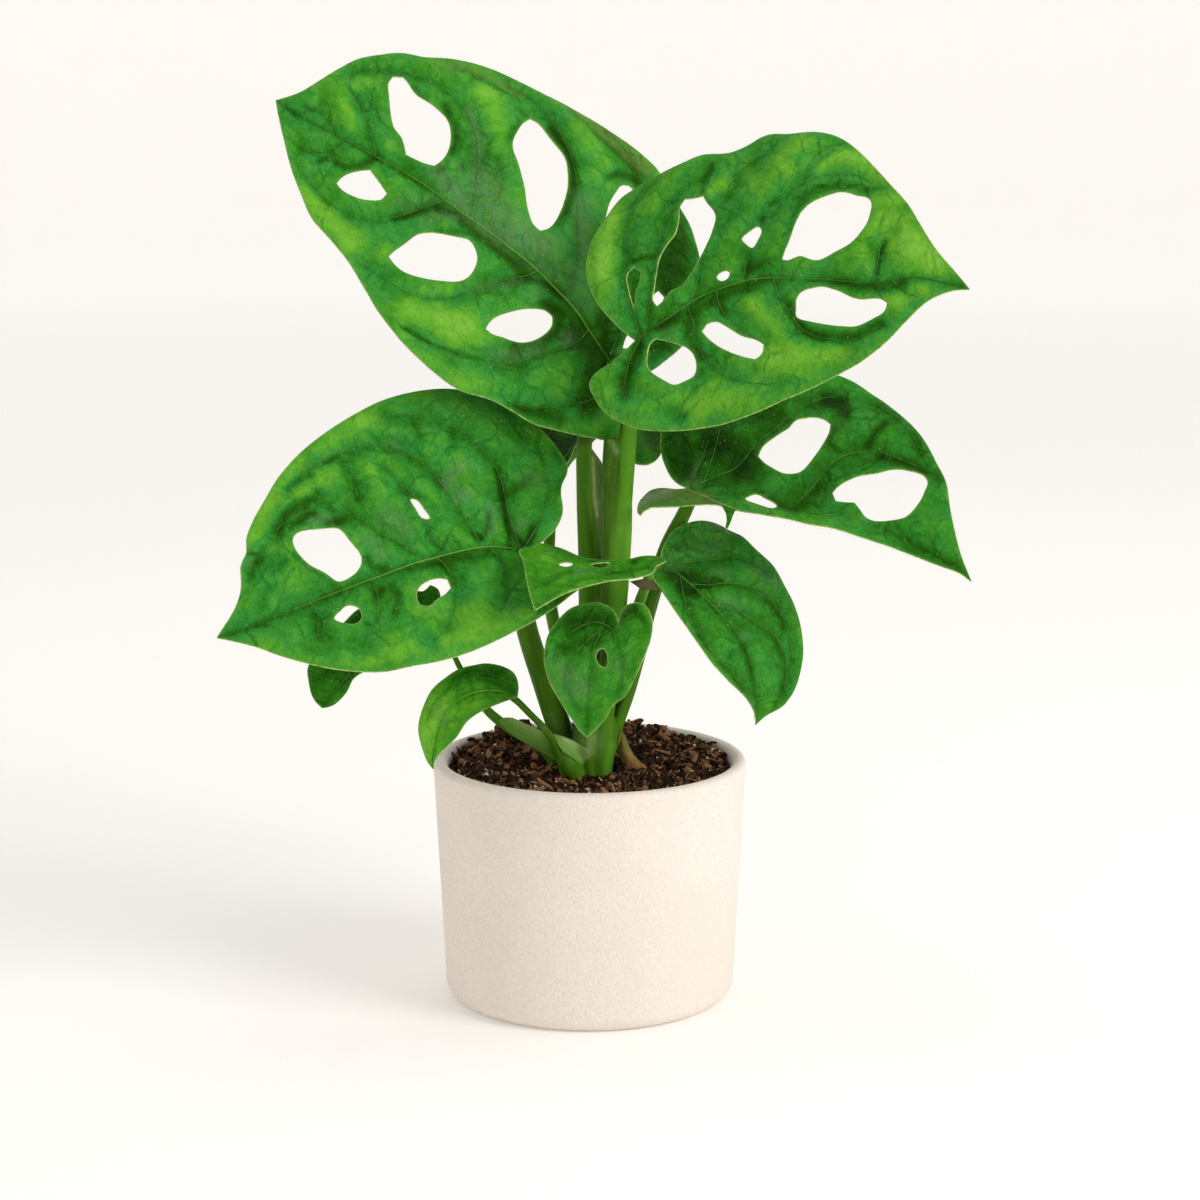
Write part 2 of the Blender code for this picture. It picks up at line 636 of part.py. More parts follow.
LEAF_3 = {
    "name": "leaf_3_right", "step": 0.0050, "grid": 0.0110, "half_width": 0.048,
    "junction": (688, 489, 8 * MM), "tip": (971, 582, -20 * MM), "side": (857, 385, 38 * MM),
    "fold": (-0.03, 1.02), "curl": (-4 * MM, -3 * MM), "droop": 2 * MM, "wave": 1.2 * MM, "waves": 2.0,
    "midrib": [(630, 489), (660, 488), (688, 487.5), (730, 486), (770, 490), (810, 502), (850, 518),
               (890, 537), (930, 557), (971, 582)],
    "margin_a": [(688, 489), (682, 486), (673, 480), (665, 465), (661, 450), (661, 434), (663, 415),
                 (676, 398), (704, 385), (740, 374), (780, 368), (812, 369), (840, 377), (857, 385),
                 (875, 397.5), (896.5, 413), (915, 430), (927, 446.5), (938, 468), (945.5, 483),
                 (950, 511), (955, 535), (961, 557), (971, 582)],
    "margin_b": [(688, 489), (680, 490.5), (667, 489.5), (653, 490), (642.5, 499), (638, 508),
                 (639.5, 517), (645.5, 511), (655, 508), (673, 508), (691, 506.5), (714, 505.5),
                 (734, 511), (753, 514), (783, 519), (808, 525), (832, 529), (857, 537), (881, 544.5),
                 (909, 555), (933, 564), (958, 573), (971, 582)],
    "holes": [
        [(758, 457), (765, 445), (777, 436), (789, 428), (794, 422), (811, 418), (826, 421),
         (831, 427), (826, 440), (817, 454), (806, 468), (797, 474), (783, 474), (769.5, 467)],
        [(832, 494), (841, 485), (857, 477), (875, 474), (893.5, 470), (912, 472), (927, 479),
         (925, 492), (918, 505), (907, 517), (893.5, 521), (875, 522), (864, 517), (858, 508),
         (851, 502), (838, 504)],
        [(745, 500.5), (755, 495), (766, 499.5), (777, 506), (771.5, 509.5), (759, 506)],
    ],
}

LEAF_4 = {
    "name": "leaf_4_left", "step": 0.0050, "grid": 0.0115, "half_width": 0.058,
    "junction": (524, 551, -24 * MM), "tip": (217, 638, -80 * MM), "side": (436, 390, -8 * MM),
    "fold": (0.42, -0.04), "curl": (-3 * MM, -5 * MM), "droop": 3 * MM, "wave": 1.5 * MM, "waves": 2.0,
    "midrib": [(524, 551), (500, 547), (475.5, 548), (445, 555), (414, 563.5), (384, 574.5),
               (353, 586), (322, 598), (292, 610), (261, 622.5), (217, 638)],
    "margin_a": [(524, 551), (534, 547.5), (546, 538), (557, 526), (562, 511), (560.6, 499), (561, 486),
                 (567, 471), (564, 460), (549, 439), (531, 423), (506, 408), (485, 399), (460, 391),
                 (436, 390), (408, 394), (381, 402), (353, 416), (322, 436), (298, 456), (278, 479),
                 (266, 499), (254, 520), (247, 538), (246, 554), (241, 566), (241, 590), (235, 609),
                 (226, 624), (217, 638)],
    "margin_b": [(524, 551), (531, 560), (545, 571), (565, 573), (580, 577), (583, 584), (576, 591),
                 (557.4, 606), (543.6, 615), (531, 623), (506, 636), (475.5, 650), (445, 660),
                 (414, 666), (384, 672), (359, 672), (332, 669), (304, 663), (280, 656), (255, 647),
                 (231, 641), (217, 638)],
    "holes": [
        [(292.4, 540), (295, 534), (307, 530), (322, 529), (338, 528.6), (350, 541), (361.6, 557),
         (359, 569), (350, 578), (336, 582), (325.5, 573.6), (310, 566), (296.4, 552)],
        [(409.7, 500), (416, 499.5), (429, 517), (426.5, 520), (422, 519.4)],
        [(416, 596.5), (420.4, 586), (432.7, 579.7), (445, 579), (451, 584), (449.5, 592), (440, 598),
         (426.5, 608), (418, 604)],
        [(334, 619.5), (339, 612), (347, 606), (357.7, 608), (362, 616), (359, 623.5), (347, 624.7)],
    ],
}

LEAF_5 = {
    "name": "leaf_5_hanging", "step": 0.0040, "grid": 0.0100, "half_width": 0.032,
    "junction": (655, 571, -12 * MM), "tip": (755, 725, -30 * MM), "side": (795, 640, -4 * MM),
    "fold": (-0.08, 0.12), "curl": (-3 * MM, 0.0), "droop": 6 * MM, "wave": 0.8 * MM, "waves": 2.0,
    "midrib": [(655, 571), (673, 571.5), (690, 584), (717, 610), (734, 630), (748, 655), (754, 682),
               (756, 704), (755, 725)],
    "margin_a": [(655, 571), (661, 563), (661, 554), (665, 543), (673, 531.5), (685, 524.5), (701, 521.5),
                 (716, 525), (734, 534), (756, 551), (774, 569), (789, 596.5), (799, 624), (802, 655),
                 (795.5, 685), (783, 705), (765, 716), (755, 725)],
    "margin_b": [(655, 571), (652, 577), (660.7, 590), (679, 617), (694.5, 639), (710, 661),
                 (728, 681), (743.5, 696), (753, 710), (755, 725)],
    "holes": [],
}

LEAF_6 = {
    "name": "leaf_6_front_heart", "step": 0.0032, "grid": 0.0090, "half_width": 0.021,
    "junction": (618, 627, -30 * MM), "tip": (587, 737, -45 * MM), "side": (545, 655, -36 * MM),
    "fold": (0.10, 0.05), "curl": (2 * MM, -2 * MM), "droop": 2 * MM, "wave": 0.5 * MM, "waves": 1.5,
    "midrib": [(618, 627), (606, 630), (598, 638), (594, 647), (591, 661), (590, 676.5), (588, 702),
               (587, 737)],
    "margin_a": [(618, 627), (617, 619), (613.5, 611.5), (606, 605.7), (597, 603.2), (581.6, 605),
                 (569, 610), (557.4, 621.7), (549.7, 633), (546, 644.6), (544.6, 661), (549.7, 681.6),
                 (558.7, 698), (569, 715), (581.6, 732.7), (587, 737)],
    "margin_b": [(618, 627), (619.5, 618), (622.4, 610.2), (629, 604.5), (637.8, 603.2), (644, 605),
                 (649, 611.5), (652, 621.7), (652, 630), (649, 644.6), (637.8, 671.4), (627.6, 691.8),
                 (622.4, 698.2), (612.2, 706), (607, 716), (599.5, 725), (587, 737)],
    "holes": [
        [(596.3, 653.6), (597.6, 649), (602, 648.2), (606, 651), (608.4, 660), (607.8, 666.3),
         (604, 668.2), (599.5, 667), (597.4, 661)],
    ],
}

LEAF_7 = {
    "name": "leaf_7_over_rim", "step": 0.0032, "grid": 0.0090, "half_width": 0.014,
    "junction": (517, 697, -20 * MM), "tip": (433.5, 769, -34 * MM), "side": (470, 666, -18 * MM),
    "fold": (-0.10, -0.10), "curl": (-1 * MM, -2 * MM), "droop": 3 * MM, "wave": 0.3 * MM, "waves": 1.0,
    "midrib": [(517, 697), (502, 691), (480, 691), (462, 701), (448, 715), (439, 731), (435, 750),
               (433.5, 769)],
    "margin_a": [(517, 697), (518, 689), (517, 680.5), (512.5, 672.5), (502, 667), (488, 664.5),
                 (475, 666), (459, 670), (443, 680.5), (432, 691), (424, 707), (419, 726), (421, 742),
                 (427, 760), (433.5, 769)],
    "margin_b": [(517, 697), (502, 702), (483, 710), (467, 721), (456, 737), (443, 750), (435, 760),
                 (433.5, 769)],
    "holes": [],
}

LEAF_8 = {
    "name": "leaf_8_back_left", "step": 0.0040, "grid": 0.0100, "half_width": 0.020,
    "junction": (422, 592, -12 * MM), "tip": (322, 708, -38 * MM), "side": (436, 640, -18 * MM),
    "fold": (0.06, 0.06), "curl": (-2 * MM, -2 * MM), "droop": 3 * MM, "wave": 0.5 * MM, "waves": 1.5,
    "midrib": [(422, 592), (395, 622), (365, 655), (340, 685), (322, 708)],
    "margin_a": [(422, 592), (412, 590), (385, 596), (358, 610), (344, 623), (325, 642), (309, 665),
                 (309, 682), (313, 697.5), (322, 708)],
    "margin_b": [(422, 592), (433, 585), (440, 597), (436, 615), (425, 637), (405, 655), (383, 665),
                 (356, 676), (347, 691), (335, 704), (322, 708)],
    "holes": [],
}

LEAF_9 = {
    "name": "leaf_9_behind_stems", "step": 0.0040, "grid": 0.0100, "half_width": 0.026,
    "junction": (603, 425, 40 * MM), "tip": (603, 376, 67 * MM), "side": (661, 440, 32 * MM),
    "fold": (0.05, 0.05), "curl": (-2 * MM, -2 * MM), "droop": 3 * MM, "wave": 0.5 * MM, "waves": 1.5,
    "midrib": [(603, 425), (603, 400), (603, 376)],
    "margin_a": [(603, 425), (596, 430), (586, 437), (576, 446), (572, 455), (567, 464), (558, 470),
                 (548, 465), (540, 450), (537, 435), (537, 424), (541, 408), (552, 395), (575, 382),
                 (603, 376)],
    "margin_b": [(603, 425), (611, 431), (621, 444), (630, 458), (637, 465), (645, 465.5), (653, 463),
                 (660, 455), (663, 440), (661, 420), (650, 400), (630, 385), (603, 376)],
    "holes": [],
}

LEAF_10 = {
    "name": "leaf_10_low_front", "step": 0.0032, "grid": 0.0090, "half_width": 0.020,
    "junction": (656, 567, -27 * MM), "tip": (535, 611, -78 * MM), "side": (520, 551, -43 * MM),
    "fold": (0.05, -0.05), "curl": (1 * MM, -1 * MM), "droop": 2 * MM, "wave": 0.3 * MM, "waves": 1.5,
    "midrib": [(656, 567), (620, 571), (590, 577), (560, 590), (535, 611)],
    "margin_a": [(656, 567), (663, 563.5), (666, 560), (653, 557), (641, 557.5), (630, 560),
                 (618, 561), (601, 561), (579.6, 557.5), (558, 548.6), (541.3, 544.7), (532, 548),
                 (520, 551), (523, 561), (526.8, 580.7), (530.6, 598), (535, 611)],
    "margin_b": [(656, 567), (650.8, 574.6), (637.8, 578.4), (628.6, 580), (607, 582.3),
                 (576.5, 590), (558, 597.6), (535, 611)],
    "holes": [
        [(558, 565.5), (564, 563.5), (573.5, 564), (568, 567.6), (562, 568)],
        [(591, 566), (600, 563.8), (611, 564.5), (604, 568.5), (595, 569)],
    ],
}

STALK_1 = {
    "name": "stalk_1", "step": 0.0130, "neck": 7 * MM, "wing_side": (1, 0.1, 0),
    "foot": [(-0.0002, 0.0004, 0.0955), (-0.0004, 0.0008, 0.104)],
    "route": [(587, 690, 2.0 * MM), (586, 620, 4 * MM), (585.5, 556, 5 * MM), (584.5, 500, 7 * MM),
              (584.5, 440, 10 * MM), (590, 405, 15 * MM)],
    "radii": [2.1 * MM, 2.9 * MM, 3.3 * MM, 3.3 * MM, 3.3 * MM, 3.2 * MM, 3.1 * MM, 2.9 * MM, 2.4 * MM],
    "wings": [0, 0.1, 0.6, 0.9, 0.8, 0.1, 0, 0, 0],
}

STALK_2 = {
    "name": "stalk_2", "step": 0.0130, "neck": 7 * MM, "wing_side": (-1, 0.15, 0),
    "foot": [(0.0050, -0.0075, 0.0955), (0.0051, -0.0077, 0.104)],
    "route": [(611, 690, -8.5 * MM), (617, 620, -8 * MM), (621.5, 558, -7.5 * MM),
              (625.5, 500, -7.5 * MM), (629.5, 440, -8 * MM), (633, 390, -9 * MM)],
    "radii": [2.2 * MM, 3.0 * MM, 3.4 * MM, 3.5 * MM, 3.5 * MM, 3.5 * MM, 3.4 * MM, 3.0 * MM, 2.4 * MM],
    "wings": [0, 0.2, 0.9, 1.4, 1.7, 1.8, 1.2, 0, 0],
}

STALK_3 = {
    "name": "stalk_3", "step": 0.0120, "neck": 5 * MM, "wing_side": (-1, 0, 0),
    "foot": [(0.0095, 0.0003, 0.0955), (0.0098, 0.0006, 0.104)],
    "route": [(627.5, 690, 2.5 * MM), (645.5, 620, 6 * MM), (661, 565, 9 * MM), (675, 530, 13 * MM)],
    "radii": [2.1 * MM, 2.6 * MM, 3.0 * MM, 3.2 * MM, 3.2 * MM, 3.0 * MM, 2.4 * MM],
    "wings": [0, 0, 0, 0, 0, 0, 0],
}

STALK_4 = {
    "name": "stalk_4", "step": 0.0120, "neck": 6 * MM, "wing_side": (1, 0, 0),
    "foot": [(-0.0070, 0.0090, 0.0790), (-0.0080, 0.0085, 0.092)],
    "route": [(557.5, 722, 5 * MM), (541.5, 675, 0), (527, 630, -7 * MM), (521, 590, -14 * MM)],
    "radii": [4.6 * MM, 5.0 * MM, 4.7 * MM, 4.3 * MM, 4.1 * MM, 3.6 * MM, 2.6 * MM],
    "wings": [0, 0, 0, 0, 0, 0, 0],
}

STALK_5 = {
    "name": "stalk_5", "step": 0.0120, "neck": 3.5 * MM, "wing_side": (1, 0, 0),
    "foot": [(0.0095, -0.0050, 0.0955), (0.0098, -0.0050, 0.104)],
    "route": [(629.5, 690, -5 * MM), (645.5, 630, -5.5 * MM), (653.5, 592, -6.5 * MM)],
    "radii": [2.1 * MM, 2.3 * MM, 2.5 * MM, 2.5 * MM, 2.4 * MM, 1.9 * MM],
    "wings": [0, 0, 0, 0, 0, 0],
}

STALK_6 = {
    "name": "stalk_6", "step": 0.0085, "neck": 3.5 * MM, "wing_side": (1, 0, 0),
    "foot": [(0.0002, -0.0065, 0.0955), (0.0002, -0.0075, 0.104)],
    "route": [(594, 700, -14 * MM), (604, 660, -19 * MM)],
    "radii": [1.9 * MM, 1.9 * MM, 1.9 * MM, 1.7 * MM, 1.4 * MM],
    "wings": [0, 0, 0, 0, 0],
}

STALK_7 = {
    "name": "stalk_7", "step": 0.0075, "neck": 3 * MM, "wing_side": (1, 0, 0),
    "foot": [(-0.0078, -0.0068, 0.0800), (-0.0081, -0.0076, 0.090)],
    "route": [(562, 750, -9.5 * MM), (549, 733, -12 * MM), (535, 713, -15 * MM)],
    "radii": [3.6 * MM, 4.2 * MM, 3.2 * MM, 2.0 * MM, 1.6 * MM, 1.3 * MM],
    "wings": [0, 0, 0, 0, 0, 0],
}

STALK_8 = {
    "name": "stalk_8", "step": 0.0090, "neck": 4 * MM, "wing_side": (0, 0, 1),
    "foot": [(-0.0125, 0.0000, 0.0800), (-0.0140, -0.0005, 0.090)],
    "route": [(538, 746, -1 * MM), (520, 737, -2 * MM), (500, 724, -3 * MM), (480, 704, -4 * MM),
              (457, 664, -6 * MM), (440, 627, -7 * MM)],
    "radii": [2.8 * MM, 3.0 * MM, 3.2 * MM, 2.6 * MM, 1.8 * MM, 1.5 * MM, 1.4 * MM, 1.3 * MM],
    "wings": [0, 0.1, 0.5, 0.6, 0.2, 0, 0, 0],
}

STALK_9 = {
    "name": "stalk_9", "step": 0.0120, "neck": 4 * MM, "wing_side": (1, 0, 0),
    "foot": [(0.0030, 0.0050, 0.0955), (0.0024, 0.0058, 0.104)],
    "route": [(578, 700, 9 * MM), (558, 640, 12 * MM), (550, 600, 14 * MM), (549, 560, 16 * MM),
              (551, 515, 21 * MM), (558, 475, 29 * MM), (580, 448, 37 * MM)],
    "radii": [2.1 * MM, 2.6 * MM, 2.7 * MM, 2.5 * MM, 2.3 * MM, 2.1 * MM, 1.9 * MM, 1.6 * MM],
    "wings": [0, 0, 0, 0, 0, 0, 0, 0],
}

STALK_10 = {
    "name": "stalk_10", "step": 0.0110, "neck": 4 * MM, "wing_side": (1, 0, 0),
    "foot": [(0.0047, -0.0020, 0.0955), (0.0050, -0.0022, 0.104)],
    "route": [(617, 690, -1.5 * MM), (632, 625, -6 * MM), (642, 596, -16 * MM)],
    "radii": [2.0 * MM, 2.2 * MM, 2.3 * MM, 2.3 * MM, 2.1 * MM, 1.6 * MM],
    "wings": [0, 0, 0, 0, 0, 0],
}

LEAVES = [(LEAF_1, STALK_1), (LEAF_2, STALK_2), (LEAF_3, STALK_3), (LEAF_4, STALK_4),
          (LEAF_5, STALK_5), (LEAF_6, STALK_6), (LEAF_7, STALK_7), (LEAF_8, STALK_8),
          (LEAF_9, STALK_9), (LEAF_10, STALK_10)]
SOIL_STALKS = ("stalk_4", "stalk_7", "stalk_8")


def build():
    clear_scene()
    make_pot()
    blade_material = surface("leaf green", (0.05, 0.24, 0.035), 0.4)
    stalk_material = surface("stalk green", (0.15, 0.34, 0.04), 0.45)
    soil_stems = []
    sockets = []
    for leaf, stalk in LEAVES:
        sheet, skin = make_blade(leaf, blade_material)
        path, radii, wings = make_stalk(stalk, sheet, skin, stalk_material)
        end = max(i for i, place in enumerate(path) if place.z < CROWN_TOP.z + 0.012) + 1
        foot = {"path": path[:end], "radii": radii[:end], "sides": STALK_SIDES,
                "wings": wings[:end], "wing_side": stalk["wing_side"]}
        if stalk["name"] in SOIL_STALKS:
            soil_stems.append(foot)
        else:
            sockets.append(foot)
    soil_stems.append(make_crown(sockets, stalk_material))
    soil_stems.append(make_dry_sheath())
    make_soil(soil_stems)


build()
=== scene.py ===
# %% [markdown]
# # A monstera adansonii in its stoneware pot
#
# This lesson dresses a plain solid model of a potted plant until it looks like the real one.
# The solids come first, because every new piece has to sit where its solid sits.
# All places are in metres: X runs to the right, Y away from the viewer and Z up.

import math
import random

import bpy
import numpy as np
from mathutils import Euler, Matrix, Vector, noise
from mathutils.bvhtree import BVHTree
from mathutils.kdtree import KDTree


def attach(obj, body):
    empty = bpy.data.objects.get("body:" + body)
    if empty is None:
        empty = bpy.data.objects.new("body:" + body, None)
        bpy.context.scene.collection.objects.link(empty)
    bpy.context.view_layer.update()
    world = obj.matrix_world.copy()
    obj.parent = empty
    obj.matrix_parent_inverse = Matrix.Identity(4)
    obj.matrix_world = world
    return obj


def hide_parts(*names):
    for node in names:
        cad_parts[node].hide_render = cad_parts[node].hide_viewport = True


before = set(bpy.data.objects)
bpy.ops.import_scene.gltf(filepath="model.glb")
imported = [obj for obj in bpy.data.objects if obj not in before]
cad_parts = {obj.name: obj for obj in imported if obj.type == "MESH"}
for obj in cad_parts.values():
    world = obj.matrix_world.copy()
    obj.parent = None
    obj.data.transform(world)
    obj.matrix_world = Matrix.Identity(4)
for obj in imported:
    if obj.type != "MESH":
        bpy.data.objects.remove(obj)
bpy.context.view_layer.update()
scene = bpy.context.scene
MM = 0.001

# %% [markdown]
# ## The camera
#
# A camera can be set by eye, or worked out from a round thing in the picture.
# Here the oval of the pot's rim gave the tilt and the distance, so a point of the picture
# and a place in space can be changed into each other. Veins and tints use that later.

# %% Camera
PICTURE = 1200
EYE = Vector((0.004, -1.200, 0.3896))
PITCH = math.radians(11.03)
FOCUS = 3186.0
SENSOR = 36.0


def sight(px, py):
    """The direction of the line of sight through a point of the picture."""
    side = (px - PICTURE / 2) / FOCUS
    rise = (PICTURE / 2 - py) / FOCUS
    forward = math.cos(PITCH) + rise * math.sin(PITCH)
    up = rise * math.cos(PITCH) - math.sin(PITCH)
    return Vector((side, forward, up)).normalized()


def spot(px, py, depth):
    """The place seen at a picture point, depth metres behind the middle of the pot."""
    ray = sight(px, py)
    return EYE + ray * ((depth - EYE.y) / ray.y)


def to_picture(places):
    """Picture points of an array of places."""
    offset = places - np.array(EYE)
    ahead = offset[:, 1] * math.cos(PITCH) - offset[:, 2] * math.sin(PITCH)
    up = offset[:, 1] * math.sin(PITCH) + offset[:, 2] * math.cos(PITCH)
    return np.stack([PICTURE / 2 + FOCUS * offset[:, 0] / ahead, PICTURE / 2 - FOCUS * up / ahead], axis=1)


bpy.ops.object.camera_add(location=EYE, rotation=(math.pi / 2 - PITCH, 0, 0))
camera = bpy.context.object
camera.name = "camera"
camera.data.sensor_width = SENSOR
camera.data.lens = FOCUS / PICTURE * SENSOR
camera.data.clip_end = 50
scene.camera = camera
print("lens", round(camera.data.lens, 2), "mm")

# %% [markdown]
# ## Floor and light
#
# The plant stands in an almost white studio. A flat floor that curves up behind it has no
# corner to see, and a faint glow of its own keeps it white further back, where the lamps hardly
# reach. A pale sky gives even light, and large soft lamps add direction: the brightest one
# stands to the right, because the pot is paler on that side.

# %% Helpers for selecting
def only(*things):
    """Select just these objects, the first one active."""
    if bpy.context.mode != "OBJECT":
        bpy.ops.object.mode_set(mode="OBJECT")
    bpy.ops.object.select_all(action="DESELECT")
    for thing in things:
        thing.select_set(True)
    bpy.context.view_layer.objects.active = things[0]


def apply_modifier(piece, kind, **settings):
    """Add one modifier, set it and apply it."""
    only(piece)
    bpy.ops.object.modifier_add(type=kind)
    modifier = piece.modifiers[-1]
    for key, value in settings.items():
        setattr(modifier, key, value)
    bpy.ops.object.modifier_apply(modifier=modifier.name)


def settle(piece):
    """Move an object's place, turn and size into its mesh."""
    only(piece)
    bpy.ops.object.transform_apply(location=True, rotation=True, scale=True)


def smooth(piece, degrees):
    """Shade smoothly across edges that turn less than some degrees."""
    only(piece)
    bpy.ops.object.shade_smooth_by_angle(angle=math.radians(degrees))


def give_paint(piece, *paints):
    """Give a piece these materials and no others."""
    piece.data.materials.clear()
    for paint in paints:
        piece.data.materials.append(paint)


def select_none(mesh):
    """Deselect every point, edge and face of a mesh."""
    for group in (mesh.vertices, mesh.edges, mesh.polygons):
        for item in group:
            item.select = False


# %% Helpers for materials
def new_material(name):
    material = bpy.data.materials.new(name)
    material.use_nodes = True
    return material


def add(material, kind, inputs=None, **settings):
    """Add a node; an input is given a value, or joined to another node's output."""
    node = material.node_tree.nodes.new(kind)
    for key, value in settings.items():
        setattr(node, key, value)
    for key, value in (inputs or {}).items():
        if isinstance(value, bpy.types.NodeSocket):
            material.node_tree.links.new(value, node.inputs[key])
        else:
            node.inputs[key].default_value = value
    return node


def shader_of(material):
    return material.node_tree.nodes["Principled BSDF"]


def join(material, source, target):
    material.node_tree.links.new(source, target)


def place_of(material, stretch=(1, 1, 1)):
    """Object coordinates, stretched along the axes."""
    texture = add(material, "ShaderNodeTexCoord")
    mapping = add(material, "ShaderNodeMapping", {"Vector": texture.outputs["Object"], "Scale": stretch})
    return mapping.outputs["Vector"]


def attribute(material, name, output="Fac"):
    return add(material, "ShaderNodeAttribute", attribute_name=name).outputs[output]


def cloud(material, where, scale, detail=3.0, rough=0.55):
    """A cloudy pattern between 0 and 1."""
    values = {"Vector": where, "Scale": scale, "Detail": detail, "Roughness": rough}
    return add(material, "ShaderNodeTexNoise", values).outputs["Fac"]


def between(material, value, low, high, to_low=0.0, to_high=1.0):
    """A value rescaled from one range to another, and held inside it."""
    values = {"Value": value, "From Min": low, "From Max": high, "To Min": to_low, "To Max": to_high}
    return add(material, "ShaderNodeMapRange", values).outputs["Result"]


def times(material, one, two, operation="MULTIPLY"):
    return add(material, "ShaderNodeMath", {0: one, 1: two}, operation=operation).outputs[0]


def mix(material, share, one, two):
    """One colour turning into another."""
    node = add(material, "ShaderNodeMix", data_type="RGBA")
    for socket, value in ((node.inputs[0], share), (node.inputs[6], one), (node.inputs[7], two)):
        if isinstance(value, bpy.types.NodeSocket):
            join(material, value, socket)
        elif socket.type == "RGBA":
            socket.default_value = (*value, 1.0)
        else:
            socket.default_value = value
    return node.outputs[2]


def over(material, base, *layers):
    """Colours laid over a base, each a (mask, strength, colour)."""
    for mask, strength, colour in layers:
        base = mix(material, times(material, mask, strength), base, colour)
    return base


def bumps(material, *layers):
    """The normal of bumps laid over each other, each a (height, distance, strength)."""
    normal = None
    for height, distance, strength in layers:
        values = {"Height": height, "Distance": distance, "Strength": strength}
        if normal is not None:
            values["Normal"] = normal
        normal = add(material, "ShaderNodeBump", values).outputs["Normal"]
    return normal


def cell_pattern(material, where, scale, feature="F1"):
    """The distance to the middle of the nearest cell, or to a cell's edge."""
    values = {"Vector": where, "Scale": scale}
    return add(material, "ShaderNodeTexVoronoi", values, feature=feature).outputs["Distance"]


def dotted(material, where, scale, inner, outer, kept):
    """Round dots, one to a cell, that fade from an inner to an outer radius."""
    dots = between(material, cell_pattern(material, where, scale), inner, outer, 1.0, 0.0)
    return times(material, dots, kept)


def set_skin(material, colour, normal, roughness, specular):
    """Join colour, normal and roughness to a material's shader, and set its shine."""
    shader = shader_of(material)
    join(material, colour, shader.inputs["Base Color"])
    join(material, normal, shader.inputs["Normal"])
    join(material, roughness, shader.inputs["Roughness"])
    shader.inputs["Specular IOR Level"].default_value = specular


def tint_over(material, share, colour):
    """Mix one more colour over the colour that a finished material has."""
    target = shader_of(material).inputs["Base Color"]
    join(material, mix(material, share, target.links[0].from_socket, colour), target)


# %% Spin a half section
def spin_section(name, section, steps, merge):
    """Extrude one point along a half section and spin it round the Z axis."""
    bpy.ops.object.select_all(action="DESELECT")
    bpy.ops.mesh.primitive_plane_add(size=0.01)
    piece = bpy.context.object
    piece.name = name
    bpy.ops.object.mode_set(mode="EDIT")
    bpy.ops.mesh.select_mode(type="VERT")
    bpy.ops.mesh.select_all(action="SELECT")
    bpy.ops.mesh.merge(type="CENTER")
    bpy.ops.transform.translate(value=(section[0][0], 0, section[0][1]))
    for (x0, z0), (x1, z1) in zip(section, section[1:]):
        bpy.ops.mesh.extrude_region_move(TRANSFORM_OT_translate={"value": (x1 - x0, 0, z1 - z0)})
    bpy.ops.mesh.select_all(action="SELECT")
    bpy.ops.mesh.spin(steps=steps, angle=2 * math.pi, center=(0, 0, 0), axis=(0, 0, 1))
    bpy.ops.mesh.select_all(action="SELECT")
    bpy.ops.mesh.remove_doubles(threshold=merge)
    bpy.ops.mesh.normals_make_consistent(inside=False)
    bpy.ops.object.mode_set(mode="OBJECT")
    return piece


def arc(middle, radius, start, stop, steps):
    """Points on part of a circle in the X-Z plane, angles in degrees."""
    points = []
    for k in range(steps + 1):
        angle = math.radians(start + (stop - start) * k / steps)
        points.append((middle[0] + radius * math.cos(angle), middle[1] + radius * math.sin(angle)))
    return points


# %% Floor and backdrop
FLAT_RADIUS = 4.2
BEND_RADIUS = 1.6
WALL_HEIGHT = 2.6
FLOOR_COLOUR = (0.955, 0.935, 0.91)
FLOOR_CLOUDED = tuple(0.985 * c for c in FLOOR_COLOUR)
GLOW_COLOUR = (1.0, 0.975, 0.95, 1.0)
# The strength of the glow by the plant, midway and far off, and of a band at the rear.
GLOW_NEAR = 0.15
GLOW_MIDDLE = 0.25
GLOW_FAR = 0.30
GLOW_REAR = 0.07
# The distances from the plant, in metres, at which it changes.
NEAR, MIDDLE, FAR = 0.25, 1.5, 5.0
REAR_FULL, REAR_FADES, REAR_FAINT = 2.8, 3.1, 4.3

floor_paint = new_material("studio floor")
floor_shader = shader_of(floor_paint)
where = place_of(floor_paint)
floor_tone = mix(floor_paint, cloud(floor_paint, where, 3.0), FLOOR_COLOUR, FLOOR_CLOUDED)
join(floor_paint, floor_tone, floor_shader.inputs["Base Color"])
floor_shader.inputs["Roughness"].default_value = 0.9
floor_shader.inputs["Specular IOR Level"].default_value = 0.1
floor_shader.inputs["Emission Color"].default_value = GLOW_COLOUR
away = add(floor_paint, "ShaderNodeVectorMath", {0: where}, operation="LENGTH").outputs["Value"]
near_glow = between(floor_paint, away, NEAR, MIDDLE, GLOW_NEAR, GLOW_MIDDLE)
far_glow = between(floor_paint, away, MIDDLE, FAR, 0.0, GLOW_FAR - GLOW_MIDDLE)
rear_glow = times(floor_paint, between(floor_paint, away, MIDDLE, REAR_FULL, 0.0, GLOW_REAR),
                  between(floor_paint, away, REAR_FADES, REAR_FAINT, 1.0, 0.2))
glow = times(floor_paint, times(floor_paint, near_glow, far_glow, "ADD"), rear_glow, "ADD")
join(floor_paint, glow, floor_shader.inputs["Emission Strength"])

